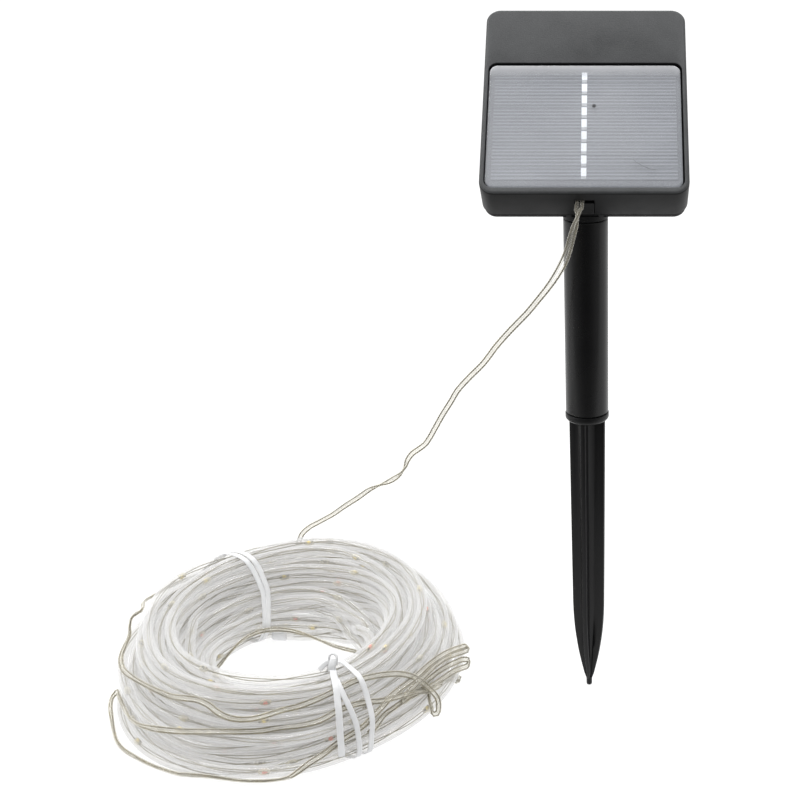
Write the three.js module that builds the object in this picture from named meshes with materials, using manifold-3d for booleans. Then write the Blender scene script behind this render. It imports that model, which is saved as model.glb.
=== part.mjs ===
// Solar rope light: a tilted solar housing on a plastic ground stake, a clear twin lead,
// and about twenty metres of clear LED rope wound in a tied coil.
// Millimetres, +Z up. Origin: the flat end of the ground spike, at floor level.
// The stake stands along Z, the solar panel faces -Y tilted up, the coil lies towards -X.
import * as THREE from 'three';
import { mergeVertices } from 'three/addons/utils/BufferGeometryUtils.js';
import Module from 'manifold-3d';

const wasm = await Module();
wasm.setup();
const { degToRad } = THREE.MathUtils;
const X_AXIS = new THREE.Vector3(1, 0, 0);
const Z_AXIS = new THREE.Vector3(0, 0, 1);

// ---------------------------------------------------------------- driving dimensions
// Housing frame: x across, y up the slope from the lower front edge, z out of the panel face.
const HOUSING_W = 105;
const HOUSING_L = 114.2;        // up the slope
const HOUSING_T = 24.2;         // thickness
const HOUSING_R = 7.5;          // plan corner radius
const HALF_W = HOUSING_W / 2;
const TILT = 45;                // degrees
const EDGE_Y = -30;             // lower front edge of the panel face
const EDGE_Z = 308;
const WALL = 2.2;
const SKIRT_Z = -20;            // lower rim of the top cover
const PLATE_TOP = -21.2;        // inner face of the base plate
const PLATE_ROOT = PLATE_TOP - 0.5; // parts standing on the plate start inside it
const BELOW = -30;              // under the whole housing, where through cuts start

const PANEL_W = 100.2;          // recess for the panel
const PANEL_Y0 = 3.5;
const PANEL_Y1 = 79.3;
const PANEL_R = 4.5;
const RECESS_FLOOR = -3.2;
const RECESS_UNDER = -4.8;

const SCREW_INSET = 6.6;
const SCREWS = [SCREW_INSET, HOUSING_L - SCREW_INSET].flatMap((y) => [[-46, y], [46, y]]);
const BOARD_Y = 60;
const BUTTONS = [['power', -11], ['mode', 11]];   // name, x
const POSTS = [[-18, 50], [18, 50], [-18, 70], [18, 70]];
const BATTERY_Y = 97;
const BATTERY_Z = -12.8;
const DOOR_SCREW = [34.7, BATTERY_Y];

const TUBE_R = 11.8;
const TUBE_IN = 10;
const TUBE_Z0 = 179.9;
const TUBE_Z1 = 288.2;
const BOSS_R = 12.4;            // socket boss under the housing
const BOSS_Z = 288.6;
const SPIGOT_R = 9.7;           // housing spigot, in the top of the tube
const SPIGOT_Z = 266;
const BORE_R = 7.6;             // bore of the spigot and of the spike's plug
const COLLAR_R = 12.1;
const COLLAR_Z0 = 175.2;
const COLLAR_Z1 = 179.6;
const COLLAR_CHAMFER = 1.1;
const PLUG_R = 9.65;            // spike plug, in the bottom of the tube
const PLUG_Z = 204;
const FIN_T = 2.8;
const FIN_TOP = 178.5;

const COIL_X = -181;
const COIL_Y = 11;
const COIL_Z = 26.9;
const ROPE_R = 3;
const ROPE_PITCH = 6.5;         // between strands in a column
const COLUMN_PITCH = 7;
const COIL_OUTER = 98;
const COLUMNS = [4, 5, 6, 7, 6, 6, 5, 4];   // strands in each column, outermost first
const STEP_DEG = 360 / 12;      // between stations round the coil
const ROPE_START_DEG = 120;
const SHIFT_START_DEG = 330;    // where strands move to their next places
const SHIFT_SPAN_DEG = 120;
const END_GAP = 1.25;           // rope end to its fitting
const LEAD_R = 0.95;
const LEAD_HALF = 1.06;         // half the spacing of the two cores
const LEAD_COIL_R = 105;

// colour, roughness, metalness
const MATERIALS = {
  black: [0x1b1c1d, 0.62, 0],
  dark: [0x26282a, 0.55, 0],
  cell: [0x7c8188, 0.35, 0.1],
  resin: [0xa4a8ad, 0.15, 0],
  metal: [0xb9bcc0, 0.35, 0.9],
  board: [0x1f5a35, 0.5, 0],
  rubber: [0x2c2d2f, 0.8, 0],
  wrap: [0x3b6a8f, 0.4, 0],
  clear: [0xe7e9ea, 0.2, 0],
  copper: [0xb9b39a, 0.35, 0.7],
  tie: [0xeef1f6, 0.45, 0],
  red: [0xa12622, 0.5, 0],
};

// ---------------------------------------------------------------- solids
function toSolid(geometry) {
  // only positions count when welding vertices
  for (const name of Object.keys(geometry.attributes)) {
    if (name !== 'position') geometry.deleteAttribute(name);
  }
  const welded = mergeVertices(geometry, 1e-4);
  const index = welded.index.array;
  const triangles = [];
  for (let i = 0; i < index.length; i += 3) {
    const [a, b, c] = index.slice(i, i + 3);
    if (a !== b && b !== c && a !== c) triangles.push(a, b, c);
  }
  return new wasm.Manifold(new wasm.Mesh({
    numProp: 3,
    vertProperties: new Float32Array(welded.attributes.position.array),
    triVerts: new Uint32Array(triangles),
  }));
}
function toGeometry(solid) {
  const mesh = solid.getMesh();
  const geometry = new THREE.BufferGeometry();
  const positions = new Float32Array(mesh.vertProperties);
  geometry.setAttribute('position', new THREE.BufferAttribute(positions, 3));
  geometry.setIndex(new THREE.BufferAttribute(new Uint32Array(mesh.triVerts), 1));
  geometry.computeVertexNormals();
  return geometry;
}
const join = (...solids) => solids.reduce((a, b) => a.add(b));
const cut = (body, ...tools) => tools.reduce((a, b) => a.subtract(b), body);

const middle = ([low, high]) => (low + high) / 2;
const around = (centre, half) => [centre - half, centre + half];

// A rounded rectangle; cornerSteps is the number of edges in each corner.
function roundedRect([x0, x1], [y0, y1], radius, cornerSteps = 5) {
  const corners = [
    [x1 - radius, y0 + radius, -90],
    [x1 - radius, y1 - radius, 0],
    [x0 + radius, y1 - radius, 90],
    [x0 + radius, y0 + radius, 180],
  ];
  return new THREE.Shape(corners.flatMap(([x, y, startDeg]) => (
    Array.from({ length: cornerSteps + 1 }, (_, i) => {
      const angle = degToRad(startDeg + (90 * i) / cornerSteps);
      return new THREE.Vector2(x + radius * Math.cos(angle), y + radius * Math.sin(angle));
    })
  )));
}
// A prism between two levels, with an optional bevel on the upper and lower edges.
function prism(shape, [z0, z1], bevel = 0) {
  const geometry = new THREE.ExtrudeGeometry(shape, {
    depth: z1 - z0 - 2 * bevel,
    bevelEnabled: bevel > 0,
    bevelThickness: bevel,
    bevelSize: bevel,
    bevelOffset: -bevel,
    bevelSegments: 2,
    steps: 1,
  });
  return toSolid(geometry.translate(0, 0, z0 + bevel));
}
function box(xs, ys, zs) {
  const geometry = new THREE.BoxGeometry(xs[1] - xs[0], ys[1] - ys[0], zs[1] - zs[0]);
  return toSolid(geometry.translate(middle(xs), middle(ys), middle(zs)));
}
function rodGeometry([x, y], radius, zs, segments) {
  return new THREE.CylinderGeometry(radius, radius, zs[1] - zs[0], segments)
    .rotateX(Math.PI / 2)
    .translate(x, y, middle(zs));
}
const rod = (...args) => toSolid(rodGeometry(...args));
// A half profile of (radius, height) turned about Y, or about Z as a solid.
function turned(profile, segments) {
  return new THREE.LatheGeometry(profile.map((p) => new THREE.Vector2(...p)), segments);
}
const lathe = (profile, segments) => toSolid(turned(profile, segments).rotateX(Math.PI / 2));
// A plate with its outline in (distance from Z, height), turned about Z.
function standingPlate(shape, thickness, deg) {
  return new THREE.ExtrudeGeometry(shape, { depth: thickness, bevelEnabled: false })
    .translate(0, 0, -thickness / 2)
    .rotateX(Math.PI / 2)
    .rotateZ(degToRad(deg));
}

// ---------------------------------------------------------------- swept bodies
// frames: {centre, u, v}, a point and two unit vectors across the sweep. outer and inner are
// polygons [[u, v], ...], anticlockwise seen against the direction of travel.
function sweep(frames, outer, inner = null) {
  const positions = [];
  const indices = [];
  // returns the first vertex number of the ring at each frame
  const addSkin = (section, inward) => {
    const rings = frames.map(({ centre, u, v }) => {
      const start = positions.length / 3;
      for (const [x, y] of section) {
        positions.push(
          centre.x + x * u.x + y * v.x,
          centre.y + x * u.y + y * v.y,
          centre.z + x * u.z + y * v.z,
        );
      }
      return start;
    });
    for (let i = 0; i + 1 < rings.length; i++) {
      for (let k = 0; k < section.length; k++) {
        const next = (k + 1) % section.length;
        const a = rings[i] + k;
        const b = rings[i] + next;
        const c = rings[i + 1] + next;
        const d = rings[i + 1] + k;
        if (inward) indices.push(a, c, b, a, d, c);
        else indices.push(a, b, c, a, c, d);
      }
    }
    return rings;
  };
  const outerRings = addSkin(outer, false);
  const innerRings = inner ? addSkin(inner, true) : null;

  // end caps, their triangles wound the same way as the outer polygon
  const flat = (section) => section.map((p) => new THREE.Vector2(...p));
  const { area, triangulateShape } = THREE.ShapeUtils;
  const rim = flat(outer);
  const hole = inner ? flat(inner) : [];
  const points = [...rim, ...hole];
  const vertexAt = (station, k) => (k < outer.length
    ? outerRings[station] + k
    : innerRings[station] + k - outer.length);
  const last = frames.length - 1;
  for (const face of triangulateShape(rim, inner ? [hole] : [])) {
    const same = Math.sign(area(face.map((k) => points[k]))) === Math.sign(area(rim));
    const [a, b, c] = same ? face : [face[0], face[2], face[1]];
    indices.push(vertexAt(0, a), vertexAt(0, c), vertexAt(0, b));
    indices.push(vertexAt(last, a), vertexAt(last, b), vertexAt(last, c));
  }
  const geometry = new THREE.BufferGeometry();
  geometry.setAttribute('position', new THREE.BufferAttribute(new Float32Array(positions), 3));
  geometry.setIndex(indices);
  geometry.computeVertexNormals();
  return geometry;
}
function polygon(sides, radius, turnDeg = 0) {
  return Array.from({ length: sides }, (_, i) => {
    const angle = degToRad(turnDeg + (360 * i) / sides);
    return [radius * Math.cos(angle), radius * Math.sin(angle)];
  });
}
// Frames carried along a polyline without twisting; the first v is squared up from startV.
function carried(points, startV) {
  let v = startV;
  return points.map((point, i) => {
    const tangent = new THREE.Vector3();
    if (i > 0) tangent.add(point.clone().sub(points[i - 1]).normalize());
    if (i + 1 < points.length) tangent.add(points[i + 1].clone().sub(point).normalize());
    tangent.normalize();
    v = v.clone().addScaledVector(tangent, -v.dot(tangent)).normalize();
    return { centre: point, u: v.clone().cross(tangent).normalize(), v };
  });
}
const along = (point, direction, distance) => point.clone().addScaledVector(direction, distance);

// ---------------------------------------------------------------- the groups
const product = new THREE.Group();
const housing = new THREE.Group();
housing.position.set(0, EDGE_Y, EDGE_Z);
housing.rotation.x = degToRad(TILT);
product.add(housing);
housing.updateMatrixWorld(true);

function addGeometry(name, geometry, materialKey, parent = product) {
  const [color, roughness, metalness] = MATERIALS[materialKey];
  const material = new THREE.MeshStandardMaterial({ color, roughness, metalness });
  const mesh = new THREE.Mesh(geometry, material);
  mesh.name = name;
  parent.add(mesh);
}
function addSolid(name, solid, materialKey, parent = product) {
  addGeometry(name, toGeometry(solid), materialKey, parent);
}

// ---------------------------------------------------------------- solar housing
const housingOutline = (inset) => roundedRect(
  around(0, HALF_W - inset), [inset, HOUSING_L - inset], HOUSING_R - inset,
);
const panelOutline = (inset, radius) => roundedRect(
  around(0, PANEL_W / 2 - inset), [PANEL_Y0 + inset, PANEL_Y1 - inset], radius,
);
const doorOutline = (inset, radius) => roundedRect(
  around(0, 38.4 - inset), around(BATTERY_Y, 11 - inset), radius, 3,
);
// A rod on the stake's axis, given by world heights and brought into the housing frame.
function stakeRod(radius, zs, segments = 28) {
  const intoHousing = housing.matrixWorld.clone().invert();
  return toSolid(rodGeometry([0, 0], radius, zs, segments).applyMatrix4(intoHousing));
}

// A plate with a recess for the panel, a skirt round the edge and four screw posts.
function topCover() {
  const shell = cut(
    prism(housingOutline(0), [SKIRT_Z - 2, 0], 0.9),
    box(around(0, 60), [-5, 120], [BELOW, SKIRT_Z]),       // trims the lower bevel away
    prism(housingOutline(WALL), [BELOW, -WALL]),
  );
  const tray = prism(
    roundedRect(around(0, HALF_W - WALL + 0.5), [WALL - 0.5, PANEL_Y1 + 2.2], PANEL_R + 1),
    [RECESS_UNDER, -WALL + 0.2],
  );
  return cut(
    join(shell, tray, ...SCREWS.map((at) => rod(at, 3.2, [SKIRT_Z, -1.5], 14))),
    prism(panelOutline(0, PANEL_R), [RECESS_FLOOR, 5]),
    ...SCREWS.map((at) => rod(at, 1.45, [BELOW, -8], 12)),
    rod([0, 72.5], 2.6, [-8, 0], 12),                      // wire hole under the panel
    box(around(0, 5.2), [-1, WALL + 0.6], [BELOW, -6.6]),  // cable outlet in the front wall
  );
}
function caseGasket() {
  return cut(
    prism(housingOutline(0.9), [-20.9, -20.3]),
    prism(housingOutline(WALL), [-25, -15]),
  );
}
// Plate, locating lip, battery walls, board posts, and the stake socket with its spigot.
function baseCover() {
  const plate = prism(housingOutline(0.8), [-HOUSING_T, PLATE_TOP], 0.5);
  const lip = cut(
    prism(housingOutline(2.6), [PLATE_TOP - 0.6, -17.5]),
    prism(housingOutline(4.2), [BELOW, -10]),
    ...SCREWS.map((at) => rod(at, 3.7, [BELOW, -10], 14)),
    box(around(0, 6.2), [0, 6], [-20.9, -10]),             // gap at the cable outlet
  );
  // both stop inside the plate
  const abovePlate = box(around(0, 60), [-60, 200], [PLATE_ROOT, 80]);
  const boss = cut(stakeRod(BOSS_R, [BOSS_Z, 330]), abovePlate);
  const spigot = cut(stakeRod(SPIGOT_R, [SPIGOT_Z, 312]), abovePlate);
  const bored = cut(
    join(plate, lip, boss, spigot),
    stakeRod(BORE_R, [SPIGOT_Z - 5, BOSS_Z + 1], 20),
  );
  const fitted = join(
    bored,
    ...[[-33, -31], [27.5, 29.5]].map((xs) => box(xs, around(BATTERY_Y, 8), [PLATE_ROOT, -7])),
    ...POSTS.map((at) => rod(at, 2, [PLATE_ROOT, -15.5], 10)),
    rod(DOOR_SCREW, 2.9, [PLATE_ROOT, -15], 12),
  );
  return cut(
    fitted,
    box([-29.5, 25.5], around(BATTERY_Y, 8.2), [BELOW, PLATE_TOP + 0.05]),
    prism(doorOutline(0, 2.4), [BELOW, -22.2]),
    rod(DOOR_SCREW, 1.3, [BELOW, -17], 10),
    ...SCREWS.flatMap((at) => [
      rod(at, 1.5, [BELOW, -15], 12),
      rod(at, 2.9, [BELOW, -22.9], 14),                    // counterbore for the head
    ]),
    ...BUTTONS.map(([, x]) => rod([x, BOARD_Y], 4.7, [BELOW, -15], 16)),
  );
}
// A case screw with a cross slot.
function caseScrew([x, y]) {
  const slot = [BELOW, -23.7];
  return cut(
    join(rod([x, y], 2.5, [-24.1, -23.2], 14), rod([x, y], 1.1, [-23.6, -11], 10)),
    box(around(x, 1.6), around(y, 0.3), slot),
    box(around(x, 0.3), around(y, 1.6), slot),
  );
}
// Battery door with a countersunk hole and three grooves.
function batteryDoor() {
  return cut(
    prism(doorOutline(0.4, 2.1), [-HOUSING_T, -22.5]),
    rod(DOOR_SCREW, 1.5, [BELOW, -20], 12),
    rod(DOOR_SCREW, 2.5, [BELOW, -23.4], 12),
    ...[-30, -27, -24].map((x) => box([x, x + 1.2], around(BATTERY_Y, 6), [BELOW, -23.7])),
  );
}
function batteryDoorScrew() {
  return cut(
    join(rod(DOOR_SCREW, 2.1, [-24.1, -23.65], 12), rod(DOOR_SCREW, 1, [-23.8, -18.5], 10)),
    box(around(DOOR_SCREW[0], 1.3), around(BATTERY_Y, 0.25), [BELOW, -23.85]),
  );
}
// The cell lies along x with its raised terminal towards +x.
function batteryCell() {
  // radius, distance along the cell
  const profile = [
    [0, -25], [6.6, -25], [7.1, -24.5], [7.1, 24], [6.7, 24.6], [2.8, 24.6], [2.8, 25.8], [0, 25.8],
  ];
  return toSolid(turned(profile, 20).rotateZ(-Math.PI / 2).translate(0, BATTERY_Y, BATTERY_Z));
}
// A conical spring that narrows towards the cell.
function batterySpring() {
  const steps = 24;
  const turns = 2.5;
  const points = Array.from({ length: steps + 1 }, (_, i) => {
    const t = i / steps;
    const angle = t * 2 * Math.PI * turns;
    const radius = 4.6 - 2.2 * t;
    return new THREE.Vector3(
      -30.2 + 4.4 * t,
      BATTERY_Y + radius * Math.cos(angle),
      BATTERY_Z + radius * Math.sin(angle),
    );
  });
  return sweep(carried(points, X_AXIS), polygon(4, 0.45, 45));
}
// Board with four post holes and two components on its upper face.
function circuitBoard() {
  return join(
    cut(
      box(around(0, 22), around(BOARD_Y, 14), [-15.2, -14]),
      ...POSTS.map((at) => rod(at, 1, [-20, -10], 8)),
    ),
    box([-6, 2], [50, 56], [-14.1, -12.6]),
    box([8, 14], [64, 68], [-14.1, -12.9]),
  );
}
function pressSwitch(x) {
  const body = box(around(x, 3), around(BOARD_Y, 3), [-18.2, -15.5]);
  return join(body, rod([x, BOARD_Y], 1.6, [-18.9, -18], 10));
}
function pressButton(x) {
  const flange = rod([x, BOARD_Y], 5.4, [-20.9, -19.9], 16);
  return join(rod([x, BOARD_Y], 4.2, [-24.9, -19.9], 16), flange);
}
// Wires inside the housing: name, material, points in the housing frame.
const WIRES = [
  ['panel_wire', 'red', [[0, 72.5, -3.5], [0, 72.3, -6.5], [-1, 69, -10], [-1, 66, -12.9]]],
  ['battery_wire_red', 'red', [[30.5, 87.5, -10], [26, 82, -9], [20, 75, -10], [18, 66, -12.9]]],
  ['battery_wire_black', 'rubber',
    [[-30.5, 87.5, -10], [-27, 82, -9], [-20, 75, -10], [-18, 66, -12.9]]],
];
function wire(stations) {
  const curve = new THREE.CatmullRomCurve3(stations.map((p) => new THREE.Vector3(...p)));
  return sweep(carried(curve.getPoints(10), X_AXIS), polygon(5, 0.6));
}
// Cable outlet grommet, with an opening for the lead at its upper left seen from the front.
function outletGrommet() {
  return cut(
    join(
      box(around(0, 4.9), [0, 3.4], [-19.7, -6.9]),
      box(around(0, 6), [3.1, 4.6], [-20.4, -5.6]),        // inner flange
    ),
    box([-4.6, 0.2], [-3, 8], [-10.9, -8.1]),
  );
}

addSolid('top_cover', topCover(), 'black', housing);
addSolid('solar_cell_board', prism(panelOutline(0.8, 3.8), [-2.9, -2]), 'cell', housing);
addSolid('panel_resin', prism(panelOutline(0.35, 4.2), [-1.7, -0.45], 0.4), 'resin', housing);
addSolid('case_gasket', caseGasket(), 'rubber', housing);
addSolid('base_cover', baseCover(), 'black', housing);
SCREWS.forEach((at, i) => addSolid(`case_screw_${i + 1}`, caseScrew(at), 'metal', housing));
addSolid('battery_door', batteryDoor(), 'black', housing);
addSolid('battery_door_screw', batteryDoorScrew(), 'metal', housing);
addSolid('battery_cell', batteryCell(), 'wrap', housing);
const contactPlate = box([26.6, 27.1], around(BATTERY_Y, 5.5), [-18.5, -8]);
addSolid('battery_contact_plate', contactPlate, 'metal', housing);
addGeometry('battery_contact_spring', batterySpring(), 'metal', housing);
addSolid('circuit_board', circuitBoard(), 'board', housing);
for (const [name, x] of BUTTONS) {
  addSolid(`${name}_switch`, pressSwitch(x), 'dark', housing);
  addSolid(`${name}_button`, pressButton(x), 'rubber', housing);
}
for (const [name, key, stations] of WIRES) addGeometry(name, wire(stations), key, housing);
addSolid('outlet_grommet', outletGrommet(), 'rubber', housing);

// ---------------------------------------------------------------- stake tube and ground spike
// Height, half width of the fins: a small flat end, an ogive, then a long slight taper.
const FIN_PROFILE = [
  [0, 1.5], [0.5, 1.75], [4.2, 1.8], [5.2, 2.1], [8, 3], [12.3, 3.9], [20.7, 5.7], [29.2, 7.2],
  [37.6, 8.3], [46, 9], [56, 9.4], [100, 9.75], [FIN_TOP, 10.25],
];
function stakeTube() {
  return lathe([
    [TUBE_IN, TUBE_Z0], [TUBE_R, TUBE_Z0], [TUBE_R, TUBE_Z1], [TUBE_IN, TUBE_Z1],
    [TUBE_IN, TUBE_Z0],
  ], 32);
}
// Two crossed fins on a core, with a collar under the tube and a hollow plug inside it.
function groundSpike() {
  const side = (sign) => FIN_PROFILE.map(([z, half]) => new THREE.Vector2(sign * half, z));
  const outline = new THREE.Shape([...side(1), ...side(-1).reverse()]);
  const fins = [-14, 76].map((deg) => toSolid(standingPlate(outline, FIN_T, deg)));
  const core = lathe([
    [0, 0], [1.5, 0], [1.7, 4.5], [3.2, 14], [4.2, 30], [4.6, 60], [5.2, FIN_TOP], [0, FIN_TOP],
  ], 12);
  const collar = lathe([
    [0, COLLAR_Z0], [COLLAR_R - COLLAR_CHAMFER, COLLAR_Z0],
    [COLLAR_R, COLLAR_Z0 + COLLAR_CHAMFER], [COLLAR_R, COLLAR_Z1], [0, COLLAR_Z1],
  ], 32);
  const plug = cut(
    rod([0, 0], PLUG_R, [COLLAR_Z1 - 1, PLUG_Z], 24),
    rod([0, 0], BORE_R, [COLLAR_Z1 + 2, PLUG_Z + 5], 20),
  );
  return join(...fins, core, collar, plug);
}
addSolid('stake_tube', stakeTube(), 'black');
addSolid('ground_spike', groundSpike(), 'black');

// ---------------------------------------------------------------- LED rope coil
// The rope is one strand laid turn by turn. It keeps its place in the bundle round most of
// the circle and moves to the next place inside one window of SHIFT_SPAN_DEG.
function strandPlaces() {
  // the rope starts one pitch below the outer column
  const places = [{ r: COIL_OUTER, z: -2.5 * ROPE_PITCH, column: 0 }];
  COLUMNS.forEach((count, column) => {
    const direction = column % 2 === 0 ? 1 : -1;           // columns fill upwards, then down
    for (let i = 0; i < count; i++) {
      const z = (i - (count - 1) / 2) * ROPE_PITCH * direction;
      places.push({ r: COIL_OUTER - column * COLUMN_PITCH, z, column });
    }
  });
  return places;
}
function onCoil(deg, r, z) {
  const angle = degToRad(deg);
  return new THREE.Vector3(
    COIL_X + r * Math.cos(angle), COIL_Y + r * Math.sin(angle), COIL_Z + z,
  );
}
function ropeFrames() {
  const places = strandPlaces();
  const steps = (places.length - 1) * (360 / STEP_DEG);
  return Array.from({ length: steps + 1 }, (_, i) => {
    const deg = ROPE_START_DEG + i * STEP_DEG;
    const sinceShift = deg - SHIFT_START_DEG;
    const turn = Math.floor(sinceShift / 360);             // -1 before the first shift
    const share = Math.min(1, (sinceShift - turn * 360) / SHIFT_SPAN_DEG);
    const from = places[Math.max(0, turn)];
    const to = places[turn + 1];
    const r = from.r + share * (to.r - from.r);
    let z = from.z + share * (to.z - from.z);
    if (to.column !== from.column) {
      // bulge clear of the bundle while changing column
      const lift = COLUMNS[to.column] !== COLUMNS[from.column] ? 4.6 : 2.7;
      z += Math.sign(from.z) * lift * Math.sin(Math.PI * share);
    }
    const angle = degToRad(deg);
    const outward = new THREE.Vector3(Math.cos(angle), Math.sin(angle), 0);
    return { centre: onCoil(deg, r, z), u: outward, v: Z_AXIS, deg };
  });
}
// Travel is anticlockwise from above, so (outward, up) polygons are reversed to face outwards.
const coilSection = (sides, radius) => polygon(sides, radius, 90).reverse();
// The string starts 0.5 inside the rope's near end and stops 3 short of its far end.
function ledString(rope) {
  const towards = (frame, next, distance) => {
    const direction = next.centre.clone().sub(frame.centre).normalize();
    return { ...frame, centre: along(frame.centre, direction, distance) };
  };
  return sweep([
    towards(rope[0], rope[1], 0.5),
    ...rope.slice(1, -1),
    towards(rope.at(-1), rope.at(-2), 3),
  ], coilSection(3, 0.75));
}
// Unit tangent of the coil, anticlockwise from above.
function tangentAt(deg) {
  const angle = degToRad(deg);
  return new THREE.Vector3(-Math.sin(angle), Math.cos(angle), 0);
}
// A straight round fitting with rings at the given distances from a point.
function fitting(point, direction, distances, radius) {
  const points = distances.map((distance) => along(point, direction, distance));
  return sweep(carried(points, Z_AXIS), polygon(10, radius));
}

const rope = ropeFrames();
const ropeEnd = rope.at(-1);
const spliceDir = tangentAt(ROPE_START_DEG).negate();      // clockwise, away from the rope
const spliceStart = along(rope[0].centre, spliceDir, END_GAP);
addGeometry('rope_tube', sweep(rope, coilSection(5, ROPE_R), coilSection(3, 1.75)), 'clear');
addGeometry('led_string', ledString(rope), 'copper');
addGeometry('rope_end_cap', fitting(
  ropeEnd.centre, tangentAt(ropeEnd.deg + STEP_DEG / 2), [END_GAP, END_GAP + 6.5, 10], 3.05,
), 'clear');
addGeometry('splice_sleeve', fitting(spliceStart, spliceDir, [0, 10, 21.6], 3.3), 'clear');

// ---------------------------------------------------------------- twin lead
// From inside the outlet, down past the stake, over the coil, round its outside, to the splice.
// First points in the housing frame, through the grommet:
const LEAD_OUTLET = [[-2.2, 6, -9.5], [-2.2, 2, -9.5], [-2.6, -1.2, -9.8], [-3.2, -3.4, -12.2]];
// then points in the product's frame, down to the coil:
const LEAD_HANG = [
  [-4.9, -27.6, 291.6], [-7.2, -26.8, 283.3], [-10.1, -24.8, 273.4], [-15.5, -21.4, 261.9],
  [-23.8, -17, 248.9], [-40.7, -8, 229.4], [-65.4, 9, 194.3], [-85.6, 24, 163.8],
  [-107.8, 42, 128.9], [-119.8, 54, 111.9], [-135.1, 66, 99.9], [-152, 82, 82], [-166, 94, 67],
];
function leadPoints() {
  const curve = new THREE.CatmullRomCurve3([
    ...LEAD_OUTLET.map((p) => new THREE.Vector3(...p).applyMatrix4(housing.matrixWorld)),
    ...LEAD_HANG.map((p) => new THREE.Vector3(...p)),
    onCoil(86, 96.5, 27.5),
    onCoil(90, 102.5, 22),
  ]);
  const points = curve.getPoints(34);
  // nearly two turns down the outside of the coil
  const startDeg = 97;
  const endDeg = 92 + 720;
  const steps = 40;
  for (let i = 0; i <= steps; i++) {
    const share = i / steps;
    points.push(onCoil(startDeg + share * (endDeg - startDeg), LEAD_COIL_R, 14.5 - share * 31.5));
  }
  // straight in, ending just short of the splice sleeve
  const end = 22.4;
  for (const distance of [end + 12, end + 5, end]) {
    points.push(along(spliceStart, spliceDir, distance));
  }
  return points;
}
const leadFrames = carried(leadPoints(), X_AXIS);          // v runs across the pair
const leadCore = (offset, turnDeg) => sweep(
  leadFrames.map((frame) => ({ ...frame, centre: along(frame.centre, frame.v, offset) })),
  polygon(5, LEAD_R, turnDeg),
);
addGeometry('lead_core_a', leadCore(LEAD_HALF, 0), 'clear');
addGeometry('lead_core_b', leadCore(-LEAD_HALF, 36), 'clear');

// ---------------------------------------------------------------- ties
// A flat band round the bundle; its section is in (radius, height) from the coil's centre.
function tie(deg) {
  const thickness = 1;
  const width = 8;
  const band = (grow) => roundedRect([43.2 - grow, 107.4 + grow], [-25.6 - grow, 25 + grow],
    4 + grow, 4);
  const shape = band(thickness);
  shape.holes.push(band(0));
  return toSolid(standingPlate(shape, width, deg).translate(COIL_X, COIL_Y, COIL_Z));
}
addSolid('tie_back', tie(127), 'tie');
addSolid('tie_front', tie(302), 'tie');

export default product;
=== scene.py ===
import bpy, bmesh, math, random
import numpy as np
from mathutils import Vector, Matrix


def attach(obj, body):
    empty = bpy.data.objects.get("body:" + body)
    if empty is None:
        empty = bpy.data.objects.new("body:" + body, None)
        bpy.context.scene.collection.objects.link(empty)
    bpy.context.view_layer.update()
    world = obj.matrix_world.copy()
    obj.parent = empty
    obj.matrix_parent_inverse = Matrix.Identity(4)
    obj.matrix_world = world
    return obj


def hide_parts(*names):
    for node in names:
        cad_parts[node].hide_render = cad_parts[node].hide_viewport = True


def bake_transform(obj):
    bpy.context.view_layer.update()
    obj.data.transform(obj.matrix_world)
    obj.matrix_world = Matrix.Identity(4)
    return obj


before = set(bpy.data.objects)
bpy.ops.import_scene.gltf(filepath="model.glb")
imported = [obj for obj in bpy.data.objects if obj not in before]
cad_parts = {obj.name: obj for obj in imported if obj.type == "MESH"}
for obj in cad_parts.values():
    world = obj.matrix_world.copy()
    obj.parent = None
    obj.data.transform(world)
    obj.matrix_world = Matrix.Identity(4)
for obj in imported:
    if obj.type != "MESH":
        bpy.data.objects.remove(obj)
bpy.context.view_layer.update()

MM = 0.001
rng = np.random.default_rng(20240607)
random.seed(11)
SCENE = bpy.context.scene

# ------------------------------------------------------------------ dimensions, millimetres
HW, HL, HT, HR = 52.5, 114.2, 24.2, 7.5
EDGE = (-30.0, 308.0)
C45 = math.cos(math.radians(45))
PX, PS0, PS1, PR = 50.1, 3.5, 79.3, 4.5
COIL = np.array([-181.0, 11.0, 26.9])


def loc(x, s, n):
    """Housing frame (across, up the slope, out of the panel) to the object's frame, in millimetres."""
    return (x, EDGE[0] + C45 * s - C45 * n, EDGE[1] + C45 * s + C45 * n)


def loc_arr(a):
    a = np.asarray(a, float)
    return np.stack([a[:, 0], EDGE[0] + C45 * (a[:, 1] - a[:, 2]), EDGE[1] + C45 * (a[:, 1] + a[:, 2])], 1)


# ------------------------------------------------------------------ mesh helpers
def mesh_obj(name, verts, faces, mats, smooth=True, sharp=32.0, slots=None):
    """verts in millimetres. mats: one material or a list. slots: a material index for each face."""
    me = bpy.data.meshes.new(name)
    me.from_pydata([tuple(np.asarray(v, float) * MM) for v in verts], [], [tuple(int(i) for i in f) for f in faces])
    return finish_obj(name, me, mats, smooth, sharp, slots)


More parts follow.
